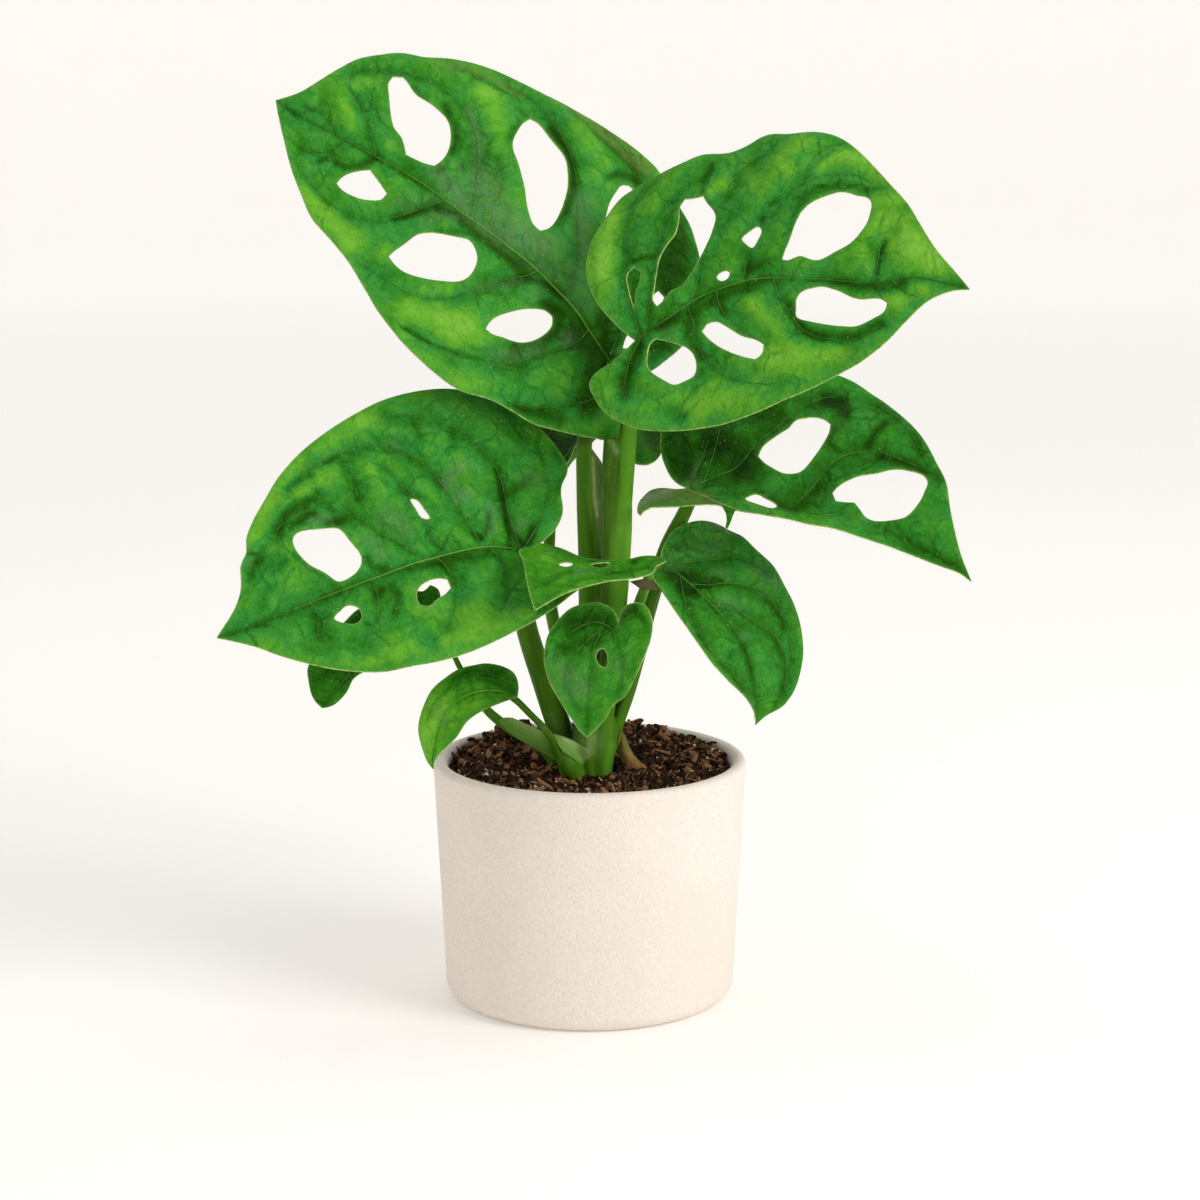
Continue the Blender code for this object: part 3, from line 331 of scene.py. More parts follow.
section = [(0.001, 0.0), (1.0, 0.0), (FLAT_RADIUS, 0.0)]
section += arc((FLAT_RADIUS, BEND_RADIUS), BEND_RADIUS, -85, 0, 16)
section += [(FLAT_RADIUS + BEND_RADIUS, WALL_HEIGHT)]
floor = spin_section("studio_floor", section, 96, 0.002)
give_paint(floor, floor_paint)
smooth(floor, 60)
print("floor faces:", len(floor.data.polygons))

# %% Light
PLANT_MIDDLE = Vector((0.0, 0.0, 0.20))
SKY_COLOUR = (1.0, 0.985, 0.965, 1.0)
SKY_STRENGTH = 0.51


def soft_lamp(name, place, size, power, colour):
    """A large square lamp at a place, turned to the plant."""
    turn = (PLANT_MIDDLE - Vector(place)).to_track_quat("-Z", "Y").to_euler()
    bpy.ops.object.light_add(type="AREA", location=place, rotation=turn)
    lamp = bpy.context.object
    lamp.name = name
    lamp.data.shape = "SQUARE"
    lamp.data.size = size
    lamp.data.energy = power
    lamp.data.color = colour


soft_lamp("key_lamp", (1.25, -0.80, 0.95), size=0.8, power=13.8, colour=(1.0, 0.99, 0.97))
soft_lamp("top_lamp", (-0.10, 0.25, 1.60), size=1.0, power=5.0, colour=(1.0, 0.99, 0.975))
world = bpy.data.worlds.new("studio sky")
scene.world = world
world.use_nodes = True
sky = world.node_tree.nodes["Background"]
sky.inputs["Color"].default_value = SKY_COLOUR
sky.inputs["Strength"].default_value = SKY_STRENGTH
scene.view_settings.view_transform = "Standard"

# %% [markdown]
# ## Copies of the solids
#
# Leaves, soil and crown start from a copy of their solid, so they stay where it is.
# A solid's mesh is loose triangles, so the copy is merged before anything else.

# %% Copy a solid
MERGE_DISTANCE = 0.00002


def cad_copy(node, name):
    """A merged copy of a solid, with its own mesh and no link to the frame."""
    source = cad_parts[node]
    piece = source.copy()
    piece.data = source.data.copy()
    piece.data.transform(source.matrix_world)
    piece.parent = None
    piece.matrix_world = Matrix.Identity(4)
    for key in list(piece.keys()):
        del piece[key]
    piece.name = name
    piece.data.name = name
    piece.data.materials.clear()
    scene.collection.objects.link(piece)
    only(piece)
    bpy.ops.mesh.customdata_custom_splitnormals_clear()
    bpy.ops.object.mode_set(mode="EDIT")
    bpy.ops.mesh.select_all(action="SELECT")
    bpy.ops.mesh.remove_doubles(threshold=MERGE_DISTANCE)
    bpy.ops.object.mode_set(mode="OBJECT")
    return piece


def corners(mesh):
    """The mesh's points as an array."""
    flat = np.empty(len(mesh.vertices) * 3)
    mesh.vertices.foreach_get("co", flat)
    return flat.reshape(-1, 3)


def set_corners(mesh, places):
    mesh.vertices.foreach_set("co", places.ravel())
    mesh.update()


def tree_of(*pieces):
    """A search tree of the faces of some meshes."""
    verts, faces = [], []
    for piece in pieces:
        first = len(verts)
        verts += [vert.co.copy() for vert in piece.data.vertices]
        faces += [[first + i for i in face.vertices] for face in piece.data.polygons]
    return BVHTree.FromPolygons(verts, faces)


def point_tree(points):
    """A search tree of points."""
    tree = KDTree(len(points))
    for i, point in enumerate(points):
        tree.insert(point, i)
    tree.balance()
    return tree


def nearest_in(points, places):
    """For each place, the distance to the nearest of some points, and that point."""
    tree = point_tree(points)
    found = [tree.find(place) for place in places]
    return np.array([f[2] for f in found]), np.array([tuple(f[0]) for f in found])


def run_along(points):
    """The length of a line from its start to each of its points."""
    lengths = [0.0]
    for one, two in zip(points, points[1:]):
        lengths.append(lengths[-1] + (two - one).length)
    return lengths


def smooth_run(points, step):
    """Points about a step apart on the smooth curve through a list of points."""
    points = [Vector(p) for p in points]
    result = []
    for i in range(len(points) - 1):
        a = points[max(i - 1, 0)]
        b = points[i]
        c = points[i + 1]
        d = points[min(i + 2, len(points) - 1)]
        count = max(1, round((c - b).length / step))
        for k in range(count):
            t = k / count
            result.append(0.5 * ((2 * b) + (c - a) * t + (2 * a - 5 * b + 4 * c - d) * t * t
                                 + (3 * b - a - 3 * c + d) * t * t * t))
    return result + [points[-1]]


# %% [markdown]
# ## The pot
#
# The pot is plain matt stoneware, thrown round, with a soft lip and a rounded foot.
# Anything turned is quickest as a half section that is spun round its axis. Many steps keep
# its outline smooth, and the fine grain of the clay is left to the material.

# %% Stoneware
POT_CREAM = (0.838, 0.768, 0.706)
POT_SHADE = (0.730, 0.635, 0.540)
POT_SPECK = (0.560, 0.440, 0.330)

pot_paint = new_material("cream stoneware")
where = place_of(pot_paint)
broad = cloud(pot_paint, where, 22.0, 4.0)
fine = cloud(pot_paint, where, 900.0, 2.0)
grain = cloud(pot_paint, where, 2600.0, 2.0)
tone = mix(pot_paint, between(pot_paint, broad, 0.38, 0.68, 0.0, 0.30), POT_CREAM, POT_SHADE)
tone = mix(pot_paint, between(pot_paint, fine, 0.42, 0.66, 0.0, 0.50), tone, POT_SHADE)
rare = between(pot_paint, cloud(pot_paint, where, 160.0, 1.0), 0.55, 0.62)
speck = dotted(pot_paint, where, 420.0, 0.10, 0.17, rare)
tone = over(pot_paint, tone, (speck, 0.45, POT_SPECK))
polish = between(pot_paint, broad, 0.3, 0.7, 0.62, 0.78)
rough = bumps(pot_paint, (grain, 0.08 * MM, 0.5), (fine, 0.60 * MM, 0.7), (broad, 1.0 * MM, 0.35))
set_skin(pot_paint, tone, rough, polish, 0.3)

# %% Spin the pot
POT_STEPS = 168
RIM_RADIUS = 0.0606
FOOT_RADIUS = 0.0558
POT_HEIGHT = 0.0942
WALL = 0.0052
FLOOR_THICKNESS = 0.0060
FOOT_ROUND = 0.0062
INNER_ROUND = 0.0060
INNER_DROP = 0.030
POT_MIDDLE = 0.0001
LEAN = (RIM_RADIUS - FOOT_RADIUS) / POT_HEIGHT
LIP = WALL / 2

foot_out = FOOT_RADIUS + LEAN * FOOT_ROUND
lip_low = POT_HEIGHT - LIP
inner_foot = FOOT_RADIUS + LEAN * FLOOR_THICKNESS - WALL
section = [(POT_MIDDLE, 0.0), (0.020, 0.0), (0.040, 0.0)]
section += arc((foot_out - FOOT_ROUND, FOOT_ROUND), FOOT_ROUND, -90, 0, 10)
for share in (0.25, 0.5, 0.75, 0.95):
    height = FOOT_ROUND + (lip_low - FOOT_ROUND) * share
    section.append((FOOT_RADIUS + LEAN * height, height))
section += arc((RIM_RADIUS - LIP, lip_low), LIP, 0, 180, 14)
section += [(RIM_RADIUS - WALL - LEAN * INNER_DROP, POT_HEIGHT - INNER_DROP)]
section += arc((inner_foot - INNER_ROUND, FLOOR_THICKNESS + INNER_ROUND), INNER_ROUND, 0, -90, 6)
section += [(POT_MIDDLE, FLOOR_THICKNESS)]

pot = spin_section("round_pot", section, POT_STEPS, 0.00025)
give_paint(pot, pot_paint)
smooth(pot, 50)
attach(pot, "root")
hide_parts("pot")
print("pot faces:", len(pot.data.polygons))

# %% [markdown]
# ## Leaf colours
#
# A leaf is a thin skin with a waxy shine. Its green changes from panel to panel: young
# parts are yellow-green and old parts are deep green. Painted shade darkens its grooves, creases,
# the hollows of its relief and the parts that lie in the shadow of other leaves, painted light
# brightens the swells of its relief, and a dull pale green painted sheen stands where the shine
# catches the light. Those places are stored on each blade as numbers between 0 and 1. The material
# adds them up to one tone, and picks a green by it from two rows: a warm one, and a cooler one
# that takes over in cloudy areas. Small marks and a fine net of veins come from patterns.

# %% Upper side of a leaf
LEAF_TONES = [
    (0.00, (0.005, 0.036, 0.0005)), (0.20, (0.012, 0.070, 0.001)), (0.40, (0.020, 0.142, 0.004)),
    (0.58, (0.040, 0.228, 0.008)), (0.78, (0.104, 0.355, 0.020)), (1.00, (0.178, 0.455, 0.045)),
]
EMERALD_TONES = [
    (0.25, (0.008, 0.080, 0.004)), (0.50, (0.022, 0.220, 0.030)), (0.78, (0.076, 0.365, 0.058)),
]
# The colour of the painted sheen where the shine catches the light.
SHEEN_GREY = (0.112, 0.218, 0.088)
LEAF_PALE = (0.118, 0.205, 0.038)
LEAF_LINE = (0.110, 0.300, 0.060)
DUST = (0.40, 0.56, 0.30)
MIDDLE_TONE = 0.56
CREASE_WANDER = 0.012
TINTS = ("patch", "shade", "sheen", "pale", "relief", "edge", "outer", "cool")


def ramp(material, value, stops):
    """A row of colours picked by a value."""
    node = add(material, "ShaderNodeValToRGB", {"Fac": value})
    row = node.color_ramp.elements
    while len(row) < len(stops):
        row.new(0.5)
    for element, (place, colour) in zip(row, stops):
        element.position = place
        element.color = (*colour, 1.0)
    return node.outputs["Color"]


def total(material, first, *parts):
    """A first value plus (value, middle, share) parts, each taken from its middle."""
    for value, middle, share in parts:
        values = {0: value, 1: share, 2: -middle * share}
        part = add(material, "ShaderNodeMath", values, operation="MULTIPLY_ADD").outputs[0]
        first = times(material, first, part, "ADD")
    return first


blade_paint = new_material("leaf upper side")
where = place_of(blade_paint)
blotch = cloud(blade_paint, where, 45.0, 3.0, 0.6)
patchy = cloud(blade_paint, where, 120.0, 3.0, 0.6)
mottle = cloud(blade_paint, where, 330.0, 4.0, 0.65)
fleck = cloud(blade_paint, where, 1100.0, 3.0, 0.7)
streak = cloud(blade_paint, place_of(blade_paint, (1.0, 1.0, 0.35)), 520.0, 3.0, 0.7)
cool = cloud(blade_paint, place_of(blade_paint, (1.3, 1.1, 0.9)), 70.0, 4.0, 0.65)
stored = {name: attribute(blade_paint, name) for name in TINTS}

# A net of fine creases, used as bumps and as painted shade along the crease lines.
bent = add(blade_paint, "ShaderNodeTexNoise", {"Vector": where, "Scale": 70.0, "Detail": 3.0})
bent = add(blade_paint, "ShaderNodeVectorMath", {0: bent.outputs["Color"], "Scale": CREASE_WANDER},
           operation="SCALE")
bent = add(blade_paint, "ShaderNodeVectorMath", {0: bent.outputs[0], 1: where}, operation="ADD")
crease = cell_pattern(blade_paint, bent.outputs[0], 95.0, "DISTANCE_TO_EDGE")
crease = between(blade_paint, crease, 0.0, 0.13, 1.0, 0.0)
crease = times(blade_paint, crease, between(blade_paint, patchy, 0.40, 0.62, 0.15, 1.0))
crisp_patches = between(blade_paint, patchy, 0.38, 0.62)
crisp_mottle = between(blade_paint, mottle, 0.40, 0.60)
# In the tone, shade is partly deep green and partly painted shade, relief paints shade into the hollows and
# light onto the swells, and crease is painted shade.
tone = total(blade_paint, MIDDLE_TONE, (stored["patch"], 0.0, 0.33), (stored["shade"], 0.0, -0.46),
             (stored["relief"], 0.0, 0.065), (stored["outer"], 0.0, 0.03), (blotch, 0.5, 0.18),
             (crisp_patches, 0.5, 0.10), (crisp_mottle, 0.5, 0.08), (fleck, 0.5, 0.34),
             (crease, 0.0, -0.13))

# %% Greens of the upper side
not_dark = between(blade_paint, tone, 0.26, 0.44)
not_pale = between(blade_paint, tone, 0.60, 0.82, 1.0, 0.0)
cooler = times(blade_paint, times(blade_paint, not_dark, not_pale), stored["cool"])
cooler = times(blade_paint, cooler, between(blade_paint, cool, 0.40, 0.60, 0.20, 0.85))
green = mix(blade_paint, cooler, ramp(blade_paint, tone, LEAF_TONES),
            ramp(blade_paint, tone, EMERALD_TONES))
# Painted sheen, laid in streaks where the shine catches the light.
painted_sheen = times(blade_paint, stored["sheen"], between(blade_paint, streak, 0.32, 0.62, 0.15, 1.0))
rare = between(blade_paint, cloud(blade_paint, where, 60.0, 2.0), 0.42, 0.50)
dust = dotted(blade_paint, where, 300.0, 0.050, 0.085, rare)
rare = between(blade_paint, cloud(blade_paint, where, 50.0, 2.0), 0.52, 0.60)
pores = dotted(blade_paint, place_of(blade_paint, (1.1, 0.9, 1.0)), 210.0, 0.05, 0.11, rare)
green = over(blade_paint, green, (painted_sheen, 0.85, SHEEN_GREY), (stored["pale"], 0.80, LEAF_PALE),
             (stored["edge"], 0.30, LEAF_LINE), (dust, 0.70, DUST), (pores, 0.55, LEAF_TONES[0][1]))

net = between(blade_paint, cell_pattern(blade_paint, where, 330.0, "DISTANCE_TO_EDGE"), 0.0, 0.10)
rough = bumps(blade_paint, (net, 0.06 * MM, 0.5), (mottle, 1.6 * MM, 0.6), (patchy, 4.0 * MM, 0.5),
              (crease, -1.0 * MM, 0.6), (dust, 0.15 * MM, 0.8))
polish = between(blade_paint, mottle, 0.3, 0.7, 0.30, 0.44)
set_skin(blade_paint, green, rough, polish, 0.04)

# %% Underside, margin and veins
UNDER_GREEN = (0.060, 0.132, 0.015)
UNDER_PALE = (0.112, 0.208, 0.034)
UNDER_VEIN = (0.160, 0.280, 0.075)
MARGIN = (0.470, 0.660, 0.200)
MARGIN_BROWN = (0.130, 0.230, 0.030)
RIB = (0.150, 0.360, 0.040)
RIB_DEEP = (0.080, 0.240, 0.018)
THREAD = (0.075, 0.260, 0.030)
THREAD_DEEP = (0.014, 0.085, 0.006)


def leafy(name, one, two, scale, roughness, relief=0.1 * MM):
    """A two-tone plant skin, clouded at one scale."""
    material = new_material(name)
    where = place_of(material)
    pattern = cloud(material, where, scale, 4.0, 0.6)
    small = cloud(material, where, scale * 6, 3.0, 0.6)
    both = times(material, pattern, small, "ADD")
    tone = mix(material, between(material, both, 0.75, 1.25), one, two)
    polish = between(material, small, 0.3, 0.7, roughness - 0.05, roughness + 0.07)
    set_skin(material, tone, bumps(material, (small, relief, 0.6)), polish, 0.12)
    return material


under_paint = leafy("leaf underside", UNDER_GREEN, UNDER_PALE, 90.0, 0.55, 0.3 * MM)
margin_paint = leafy("leaf margin", MARGIN, MARGIN_BROWN, 160.0, 0.42)
thread_paint = leafy("leaf side vein", THREAD, THREAD_DEEP, 170.0, 0.45)
under_vein_paint = leafy("underside vein", UNDER_VEIN, UNDER_PALE, 150.0, 0.5)
rib_paint = leafy("leaf midrib", RIB, RIB_DEEP, 140.0, 0.38)
far = attribute(rib_paint, "along")
near_stalk = between(rib_paint, far, 0.02, 0.14, 1.0, 0.0)
near_tip = between(rib_paint, far, 0.45, 0.95)
deep = times(rib_paint, near_stalk, near_tip, "ADD")
deep = times(rib_paint, deep, attribute(rib_paint, "dim"), "ADD")
tint_over(rib_paint, between(rib_paint, deep, 0.0, 1.0, 0.0, 0.9), THREAD_DEEP)
print("leaf materials:", [m.name for m in bpy.data.materials if "leaf" in m.name or "vein" in m.name])

# %% [markdown]
# ## Where the veins run
#
# Real blades are quilted: the skin bulges between the side veins and is pulled in along
# them. The veins were drawn over the picture as a few points each, from the midrib outwards.
# Each blade also lists marks that are lime, dark, pale, or of a dull pale green painted sheen where
# the shine catches the light. Dark marks are partly deep green and partly painted shade, where folds,
# holes and other leaves shade the blade. A mark is a round spot (x, y, radius, strength) or a soft
# line (points, half width, strength).
# The other values: holes counts its holes, base says how lime and how dark the whole blade is, that
# darkness too being deep green and painted shade, cool how much it takes of the cooler greens,
# rib_wide the radius of its midrib in mm, rib_dim how dark that is, and folds are pale lines along
# which the blade is folded.

# %% Vein lines and marks of each blade, in picture points
BLADES = {
    "leaf_1_upper_left": {
        "rib": [
            (612, 366), (606, 356), (590, 332), (575.5, 310), (555, 288), (531.5, 265), (508, 246.5),
            (482, 227), (455, 207.5), (429, 188), (402, 171), (376, 157), (353, 144), (326, 130),
            (297, 114), (275, 101),
        ],
        "veins": [
            [(443.5, 201), (420, 209), (391, 218), (364, 219), (338, 209), (314, 188), (306, 177)],
            [(537, 271), (525, 276), (511, 278), (479, 288), (449, 298), (420, 297), (394, 285),
             (364, 265)],
            [(588, 330), (573, 345), (537, 356), (505, 363), (470, 356), (435, 344), (405, 326)],
            [(608, 362), (600, 388), (590, 400), (546, 408), (511, 403)],
            [(376, 156), (364, 112), (350, 86), (358, 71), (388, 70)],
            [(469, 217), (473, 206), (477, 171), (476, 138.5), (467, 115), (449, 94.5), (429, 80),
             (388, 71)],
            [(566, 296), (578, 259), (577, 218), (577, 183), (567, 147), (552, 121), (531.5, 100),
             (508, 86)],
            [(610, 356), (650, 250), (652, 205), (640, 177), (622.5, 147), (605, 130)],
            [(338, 136), (322, 112), (306, 106)], [(345, 140), (322, 152), (300, 148)],
        ],
        "lime": [
            ([(412, 310), (440, 320), (462, 332)], 17, 1.0), ([(395, 285), (420, 292), (450, 290)], 6, 0.4),
            ([(306, 190), (318, 208), (340, 228), (352, 243)], 13, 0.9), (382, 256, 8, 0.8),
            ([(344, 105), (352, 126)], 6, 0.6), (388, 147, 9, 0.5), ([(355, 84), (375, 80)], 7, 0.6),
            (315, 101, 6, 0.5), (398, 182, 12, 0.35),
            ([(484, 92), (492, 105), (496, 125), (500, 142)], 9, 0.6),
            ([(425, 66), (445, 73), (462, 84)], 7, 0.15), ([(580, 130), (594, 146), (600, 160)], 11, 0.45),
            (596, 175, 12, 0.45), (480, 375, 18, 0.25), ([(430, 292), (455, 286), (468, 280)], 8, 0.35),
            ([(398, 330), (430, 360), (470, 388)], 9, 0.35), ([(560, 398), (575, 412)], 10, 0.3),
        ],
        "pale": [
            ([(572, 108), (606, 133), (628, 150), (648, 170)], 6, 0.9),
            ([(440, 64), (470, 71), (500, 84), (520, 94)], 5, 0.55),
        ],
        "sheen_marks": [
            ([(470, 112), (480, 140), (478, 175), (476, 205)], 5, 0.8),
            ([(480, 180), (490, 205), (515, 232), (548, 250)], 16, 1.0),
            ([(582, 200), (584, 225), (586, 250)], 10, 0.8), (576, 272, 14, 0.7),
            ([(455, 190), (470, 210), (500, 235)], 10, 0.9), ([(436, 172), (446, 186), (462, 200)], 8, 0.8),
            ([(452, 160), (463, 170), (460, 185)], 3, 0.7), ([(425, 219), (440, 217), (455, 220)], 6, 0.6),
            (536, 291, 10, 0.4), (568, 340, 8, 0.8), ([(490, 352), (515, 354), (540, 348)], 6, 0.5),
            ([(395, 203), (415, 202), (430, 198)], 6, 0.35),
            ([(545, 262), (570, 280), (590, 305)], 10, 0.6), ([(470, 290), (500, 284), (516, 280)], 5, 0.4),
        ],
        "dark": [
            ([(672, 215), (678, 255), (670, 300)], 20, 0.95), ([(650, 352), (668, 345)], 13, 0.95),
            ([(436, 206), (452, 214), (478, 236), (506, 256), (526, 272)], 6, 0.7),
            ([(512, 279), (540, 281), (562, 292)], 5, 0.5),
            ([(545, 306), (562, 316), (556, 332), (540, 342), (515, 347)], 8, 0.85),
            ([(575, 330), (592, 350), (590, 380), (588, 405)], 14, 0.9),
            ([(604, 318), (606, 345), (604, 365)], 9, 0.9), ([(520, 408), (545, 412), (560, 420)], 7, 0.5),
            ([(404, 80), (413, 90), (425, 100)], 4, 0.6),
            ([(444, 108), (453, 122), (456, 140), (450, 154)], 5, 0.7), (440, 170, 6, 0.8),
            (448, 182, 5, 0.6), (462, 168, 4, 0.7), ([(318, 163), (326, 158), (333, 155)], 2.5, 0.8),
            ([(336, 164), (348, 168), (362, 166), (378, 156)], 4, 0.75),
            ([(395, 218), (415, 212), (435, 207)], 4, 0.5), ([(440, 232), (460, 233), (480, 240)], 4, 0.5),
            ([(552, 128), (563, 145), (572, 165), (573, 190), (566, 210), (555, 222)], 6, 0.8),
            ([(521, 121), (513, 130), (510, 140)], 4, 0.5), ([(504, 98), (515, 110), (527, 117)], 4, 0.35),
            ([(607, 178), (618, 174), (634, 177), (640, 186)], 5, 0.75),
            ([(455, 68), (480, 80), (505, 95), (520, 103)], 3, 0.5),
            ([(569, 112), (607, 142), (631, 161), (642, 176)], 2.5, 0.6),
            ([(556, 338), (568, 342), (579, 347)], 1.6, 0.9),
            ([(565, 333), (568, 342), (573, 351)], 1.6, 0.9),
            ([(405, 328), (430, 342), (458, 352)], 2.5, 0.45),
            ([(498, 158), (501, 180), (497, 200)], 4, 0.45),
        ],
        "holes": 7, "base": (0.05, 0.0), "rib_wide": 0.4,
    },
    "leaf_2_upper_right": {
        "rib": [
            (636, 341), (661, 323), (686, 306), (711.5, 292), (756, 279), (812.5, 279), (869, 283),
            (919, 278), (970, 290),
        ],
        "veins": [
            [(640, 338), (628, 290), (624, 259), (625.6, 227), (633.7, 203), (645.7, 187)],
            [(645, 334), (652, 291), (656, 265), (664.5, 216), (671, 200), (686, 186), (705, 174)],
            [(692, 302), (704, 254), (714, 228), (726, 192), (742, 171), (758, 157), (774, 147)],
            [(742, 283), (749, 254), (760, 232.5), (771.6, 214), (785, 198), (801, 184), (817, 177),
             (839, 173.6), (857, 176), (873, 184)],
            [(846.6, 144), (828, 147), (812, 160), (805, 174)],
            [(716, 291), (720.7, 307.5), (731.4, 321), (747.5, 334), (769, 346)],
            [(687, 305), (694, 324), (699, 348), (710, 366), (726, 377), (747.5, 382.5), (771.6, 384),
             (790, 380)],
            [(774, 280), (779.6, 297), (793, 318), (806, 332), (822.5, 338), (844, 340), (863, 336),
             (881, 325)],
            [(640, 340), (629.6, 361), (624, 388)], [(872, 283), (877, 270), (880, 249), (885.5, 238)],
            [(700, 372), (690, 395), (672, 412)], [(893, 281), (905, 292), (915, 296)],
        ],
        "lime": [
            ([(612, 215), (606, 240), (602, 275)], 11, 0.9),
            ([(690, 402), (720, 399), (745, 388), (765, 378)], 15, 0.85),
            ([(708, 190), (724, 184)], 8, 0.6), ([(745, 170), (757, 185)], 9, 0.5),
            ([(778, 155), (785, 170)], 8, 0.5), (763, 203, 6, 0.6),
            ([(752, 305), (765, 320), (778, 334)], 7, 0.6), ([(760, 352), (785, 350), (800, 352)], 13, 0.8),
            ([(695, 396), (710, 388), (725, 378)], 10, 0.6), (738, 394, 12, 0.55),
            ([(815, 165), (840, 155), (865, 158), (880, 170)], 12, 0.8), ([(785, 150), (800, 146)], 8, 0.6),
            (788, 172, 8, 0.6), ([(880, 205), (895, 200)], 10, 0.7),
            ([(882, 222), (905, 240), (932, 260)], 19, 1.0), ([(862, 248), (866, 265)], 8, 0.6),
            ([(895, 302), (912, 293), (925, 290)], 8, 0.75),
            ([(770, 362), (800, 360), (835, 348)], 14, 0.9),
        ],
        "sheen_marks": [(668, 332, 8, 0.3), ([(780, 275), (800, 272)], 4, 0.3)],
        "dark": [
            ([(660, 325), (690, 312), (720, 297), (755, 285)], 6, 0.6), ([(722, 296), (722, 312)], 4, 0.4),
            ([(686, 322), (690, 342), (700, 356)], 5, 0.6), ([(640, 345), (632, 365), (625, 385)], 7, 0.65),
            ([(622, 375), (625, 398)], 6, 0.7), (683, 416, 8, 0.6),
            ([(633, 262), (645, 257), (653, 256)], 3, 0.6),
            ([(712, 165), (704, 178), (703, 192), (708, 205)], 3.5, 0.6),
            ([(708, 205), (716, 215)], 3, 0.5), ([(775, 200), (763, 207), (762, 222)], 3, 0.5),
            ([(806, 200), (796, 210), (790, 235), (782, 258)], 5, 0.55),
            ([(745, 268), (765, 262), (778, 258)], 4, 0.5),
            ([(800, 200), (820, 188), (845, 184), (868, 192)], 5, 0.5),
            ([(806, 176), (820, 160), (835, 150)], 3.5, 0.5),
            ([(885, 240), (879, 256), (877, 272)], 3, 0.75), (898, 231, 5, 0.6),
            ([(835, 281), (862, 288), (890, 287), (905, 283)], 5, 0.65),
            ([(790, 305), (795, 316), (805, 330), (822, 337)], 5, 0.7),
            ([(815, 334), (840, 337), (860, 334), (880, 322)], 5, 0.65), (797, 338, 8, 0.45),
        ],
        "holes": 8, "base": (0.12, 0.0), "rib_wide": 0.26, "rib_dim": 0.3,
    },
    "leaf_3_right": {
        "rib": [(886.7, 529.7), (911, 540.6), (935, 554), (954.5, 567), (970, 581)],
        "veins": [
            [(691.5, 485), (694, 476), (699, 464), (703.6, 454.5), (708.5, 440)],
            [(700, 483.6), (717, 476), (734, 469), (748.5, 454.5), (758, 442), (768, 435), (780, 425),
             (790, 416), (804, 406), (821, 399), (838, 396)],
            [(797, 503), (811.5, 488.5), (821, 476), (833, 462), (848, 454.5), (867, 452), (887, 454.5),
             (906, 462), (923, 469), (937.6, 474)],
            [(879, 406), (896, 418), (911, 433), (921, 450)],
            [(703, 484), (715, 450), (722, 420), (735, 396)],
        ],
        "folds": [
            [(655, 488), (673, 488.5), (687, 490.5), (699, 494), (715, 502), (730, 507.5), (745, 513),
             (765, 516.5)],
        ],
        "lime": [
            ([(722, 500), (745, 507), (770, 512), (800, 519), (830, 527)], 5, 0.3), (896, 438, 12, 0.3),
            (828, 410, 6, 0.3), ([(918, 500), (930, 530)], 10, 0.2), (946, 547, 8, 0.3),
        ],
        "pale": [([(646, 503), (660, 498), (685, 498), (706, 501)], 9, 1.0)],
        "sheen_marks": [([(688, 484), (697, 480)], 4, 0.9), ([(693, 476), (698, 462)], 2.5, 0.6)],
        "dark": [
            ([(676, 440), (682, 465)], 16, 0.9), ([(710, 440), (735, 455), (745, 470)], 18, 0.8),
            (760, 405, 22, 0.7), ([(826, 398), (842, 402), (845, 415)], 7, 0.85),
            ([(868, 444), (877, 432), (886, 424)], 4, 0.7), ([(880, 455), (905, 463), (925, 472)], 4, 0.6),
            ([(832, 430), (828, 445), (836, 450)], 5, 0.5), ([(770, 500), (785, 508), (795, 512)], 4, 0.6),
        ],
        "holes": 3, "base": (0.0, 0.22), "cool": 0.8, "rib_wide": 0.0,
    },
    "leaf_4_left": {
        "rib": [
            (524, 551), (500, 547), (475.5, 548), (445, 555), (414, 563.5), (384, 574.5), (353, 586),
            (322, 598), (292, 610), (261, 622.5), (217, 638),
        ],
        "veins": [
            [(520, 550), (519.6, 546.6), (514.7, 534), (508.5, 512), (504.7, 494), (499.8, 477),
             (491, 459.6), (480, 447), (466, 434.7), (449, 425), (429, 418.6), (406.5, 415), (384, 413.6)],
            [(524, 549), (526, 545), (531, 537), (538, 524), (544.5, 507), (548.7, 487), (545.7, 472),
             (541, 455), (532, 440), (521, 428.5)],
            [(481, 548), (478.6, 541.7), (473.6, 532), (466, 520.5), (456, 507), (446, 491), (436, 477),
             (424, 464.6), (409, 454.6), (391.5, 448), (371.7, 446), (352, 448), (334, 454.6), (317, 464.6),
             (302, 474.5), (289.6, 484.5)],
            [(430, 559), (416, 554), (381.6, 534), (356.7, 518), (344, 512), (327, 508), (312, 509),
             (297, 515.5), (284.6, 523), (274.7, 532), (264.7, 549), (257, 566.5)],
            [(356.7, 497), (354, 479.5), (344, 462), (337, 454.6)],
            [(456, 553), (448.7, 551.6), (431, 537), (426.4, 521)],
            [(409, 499), (396.5, 479.5), (384, 464.6)],
            [(430, 560), (434, 558), (444, 564), (452.5, 579), (455, 596), (453.7, 611), (446, 629),
             (434, 641)],
            [(372, 580), (378, 598), (376, 620), (362, 642)], [(310, 603), (318, 618), (318, 638)],
            [(490, 548), (504, 566), (508, 588), (500, 612)],
        ],
        "lime": [
            ([(300, 462), (276, 488), (262, 514), (254, 540)], 9, 0.55),
            ([(322, 450), (345, 432), (370, 420)], 9, 0.5), ([(300, 494), (318, 482), (334, 472)], 8, 0.6),
            ([(366, 466), (375, 474)], 8, 0.5), ([(388, 460), (400, 472)], 6, 0.5), (272, 546, 8, 0.5),
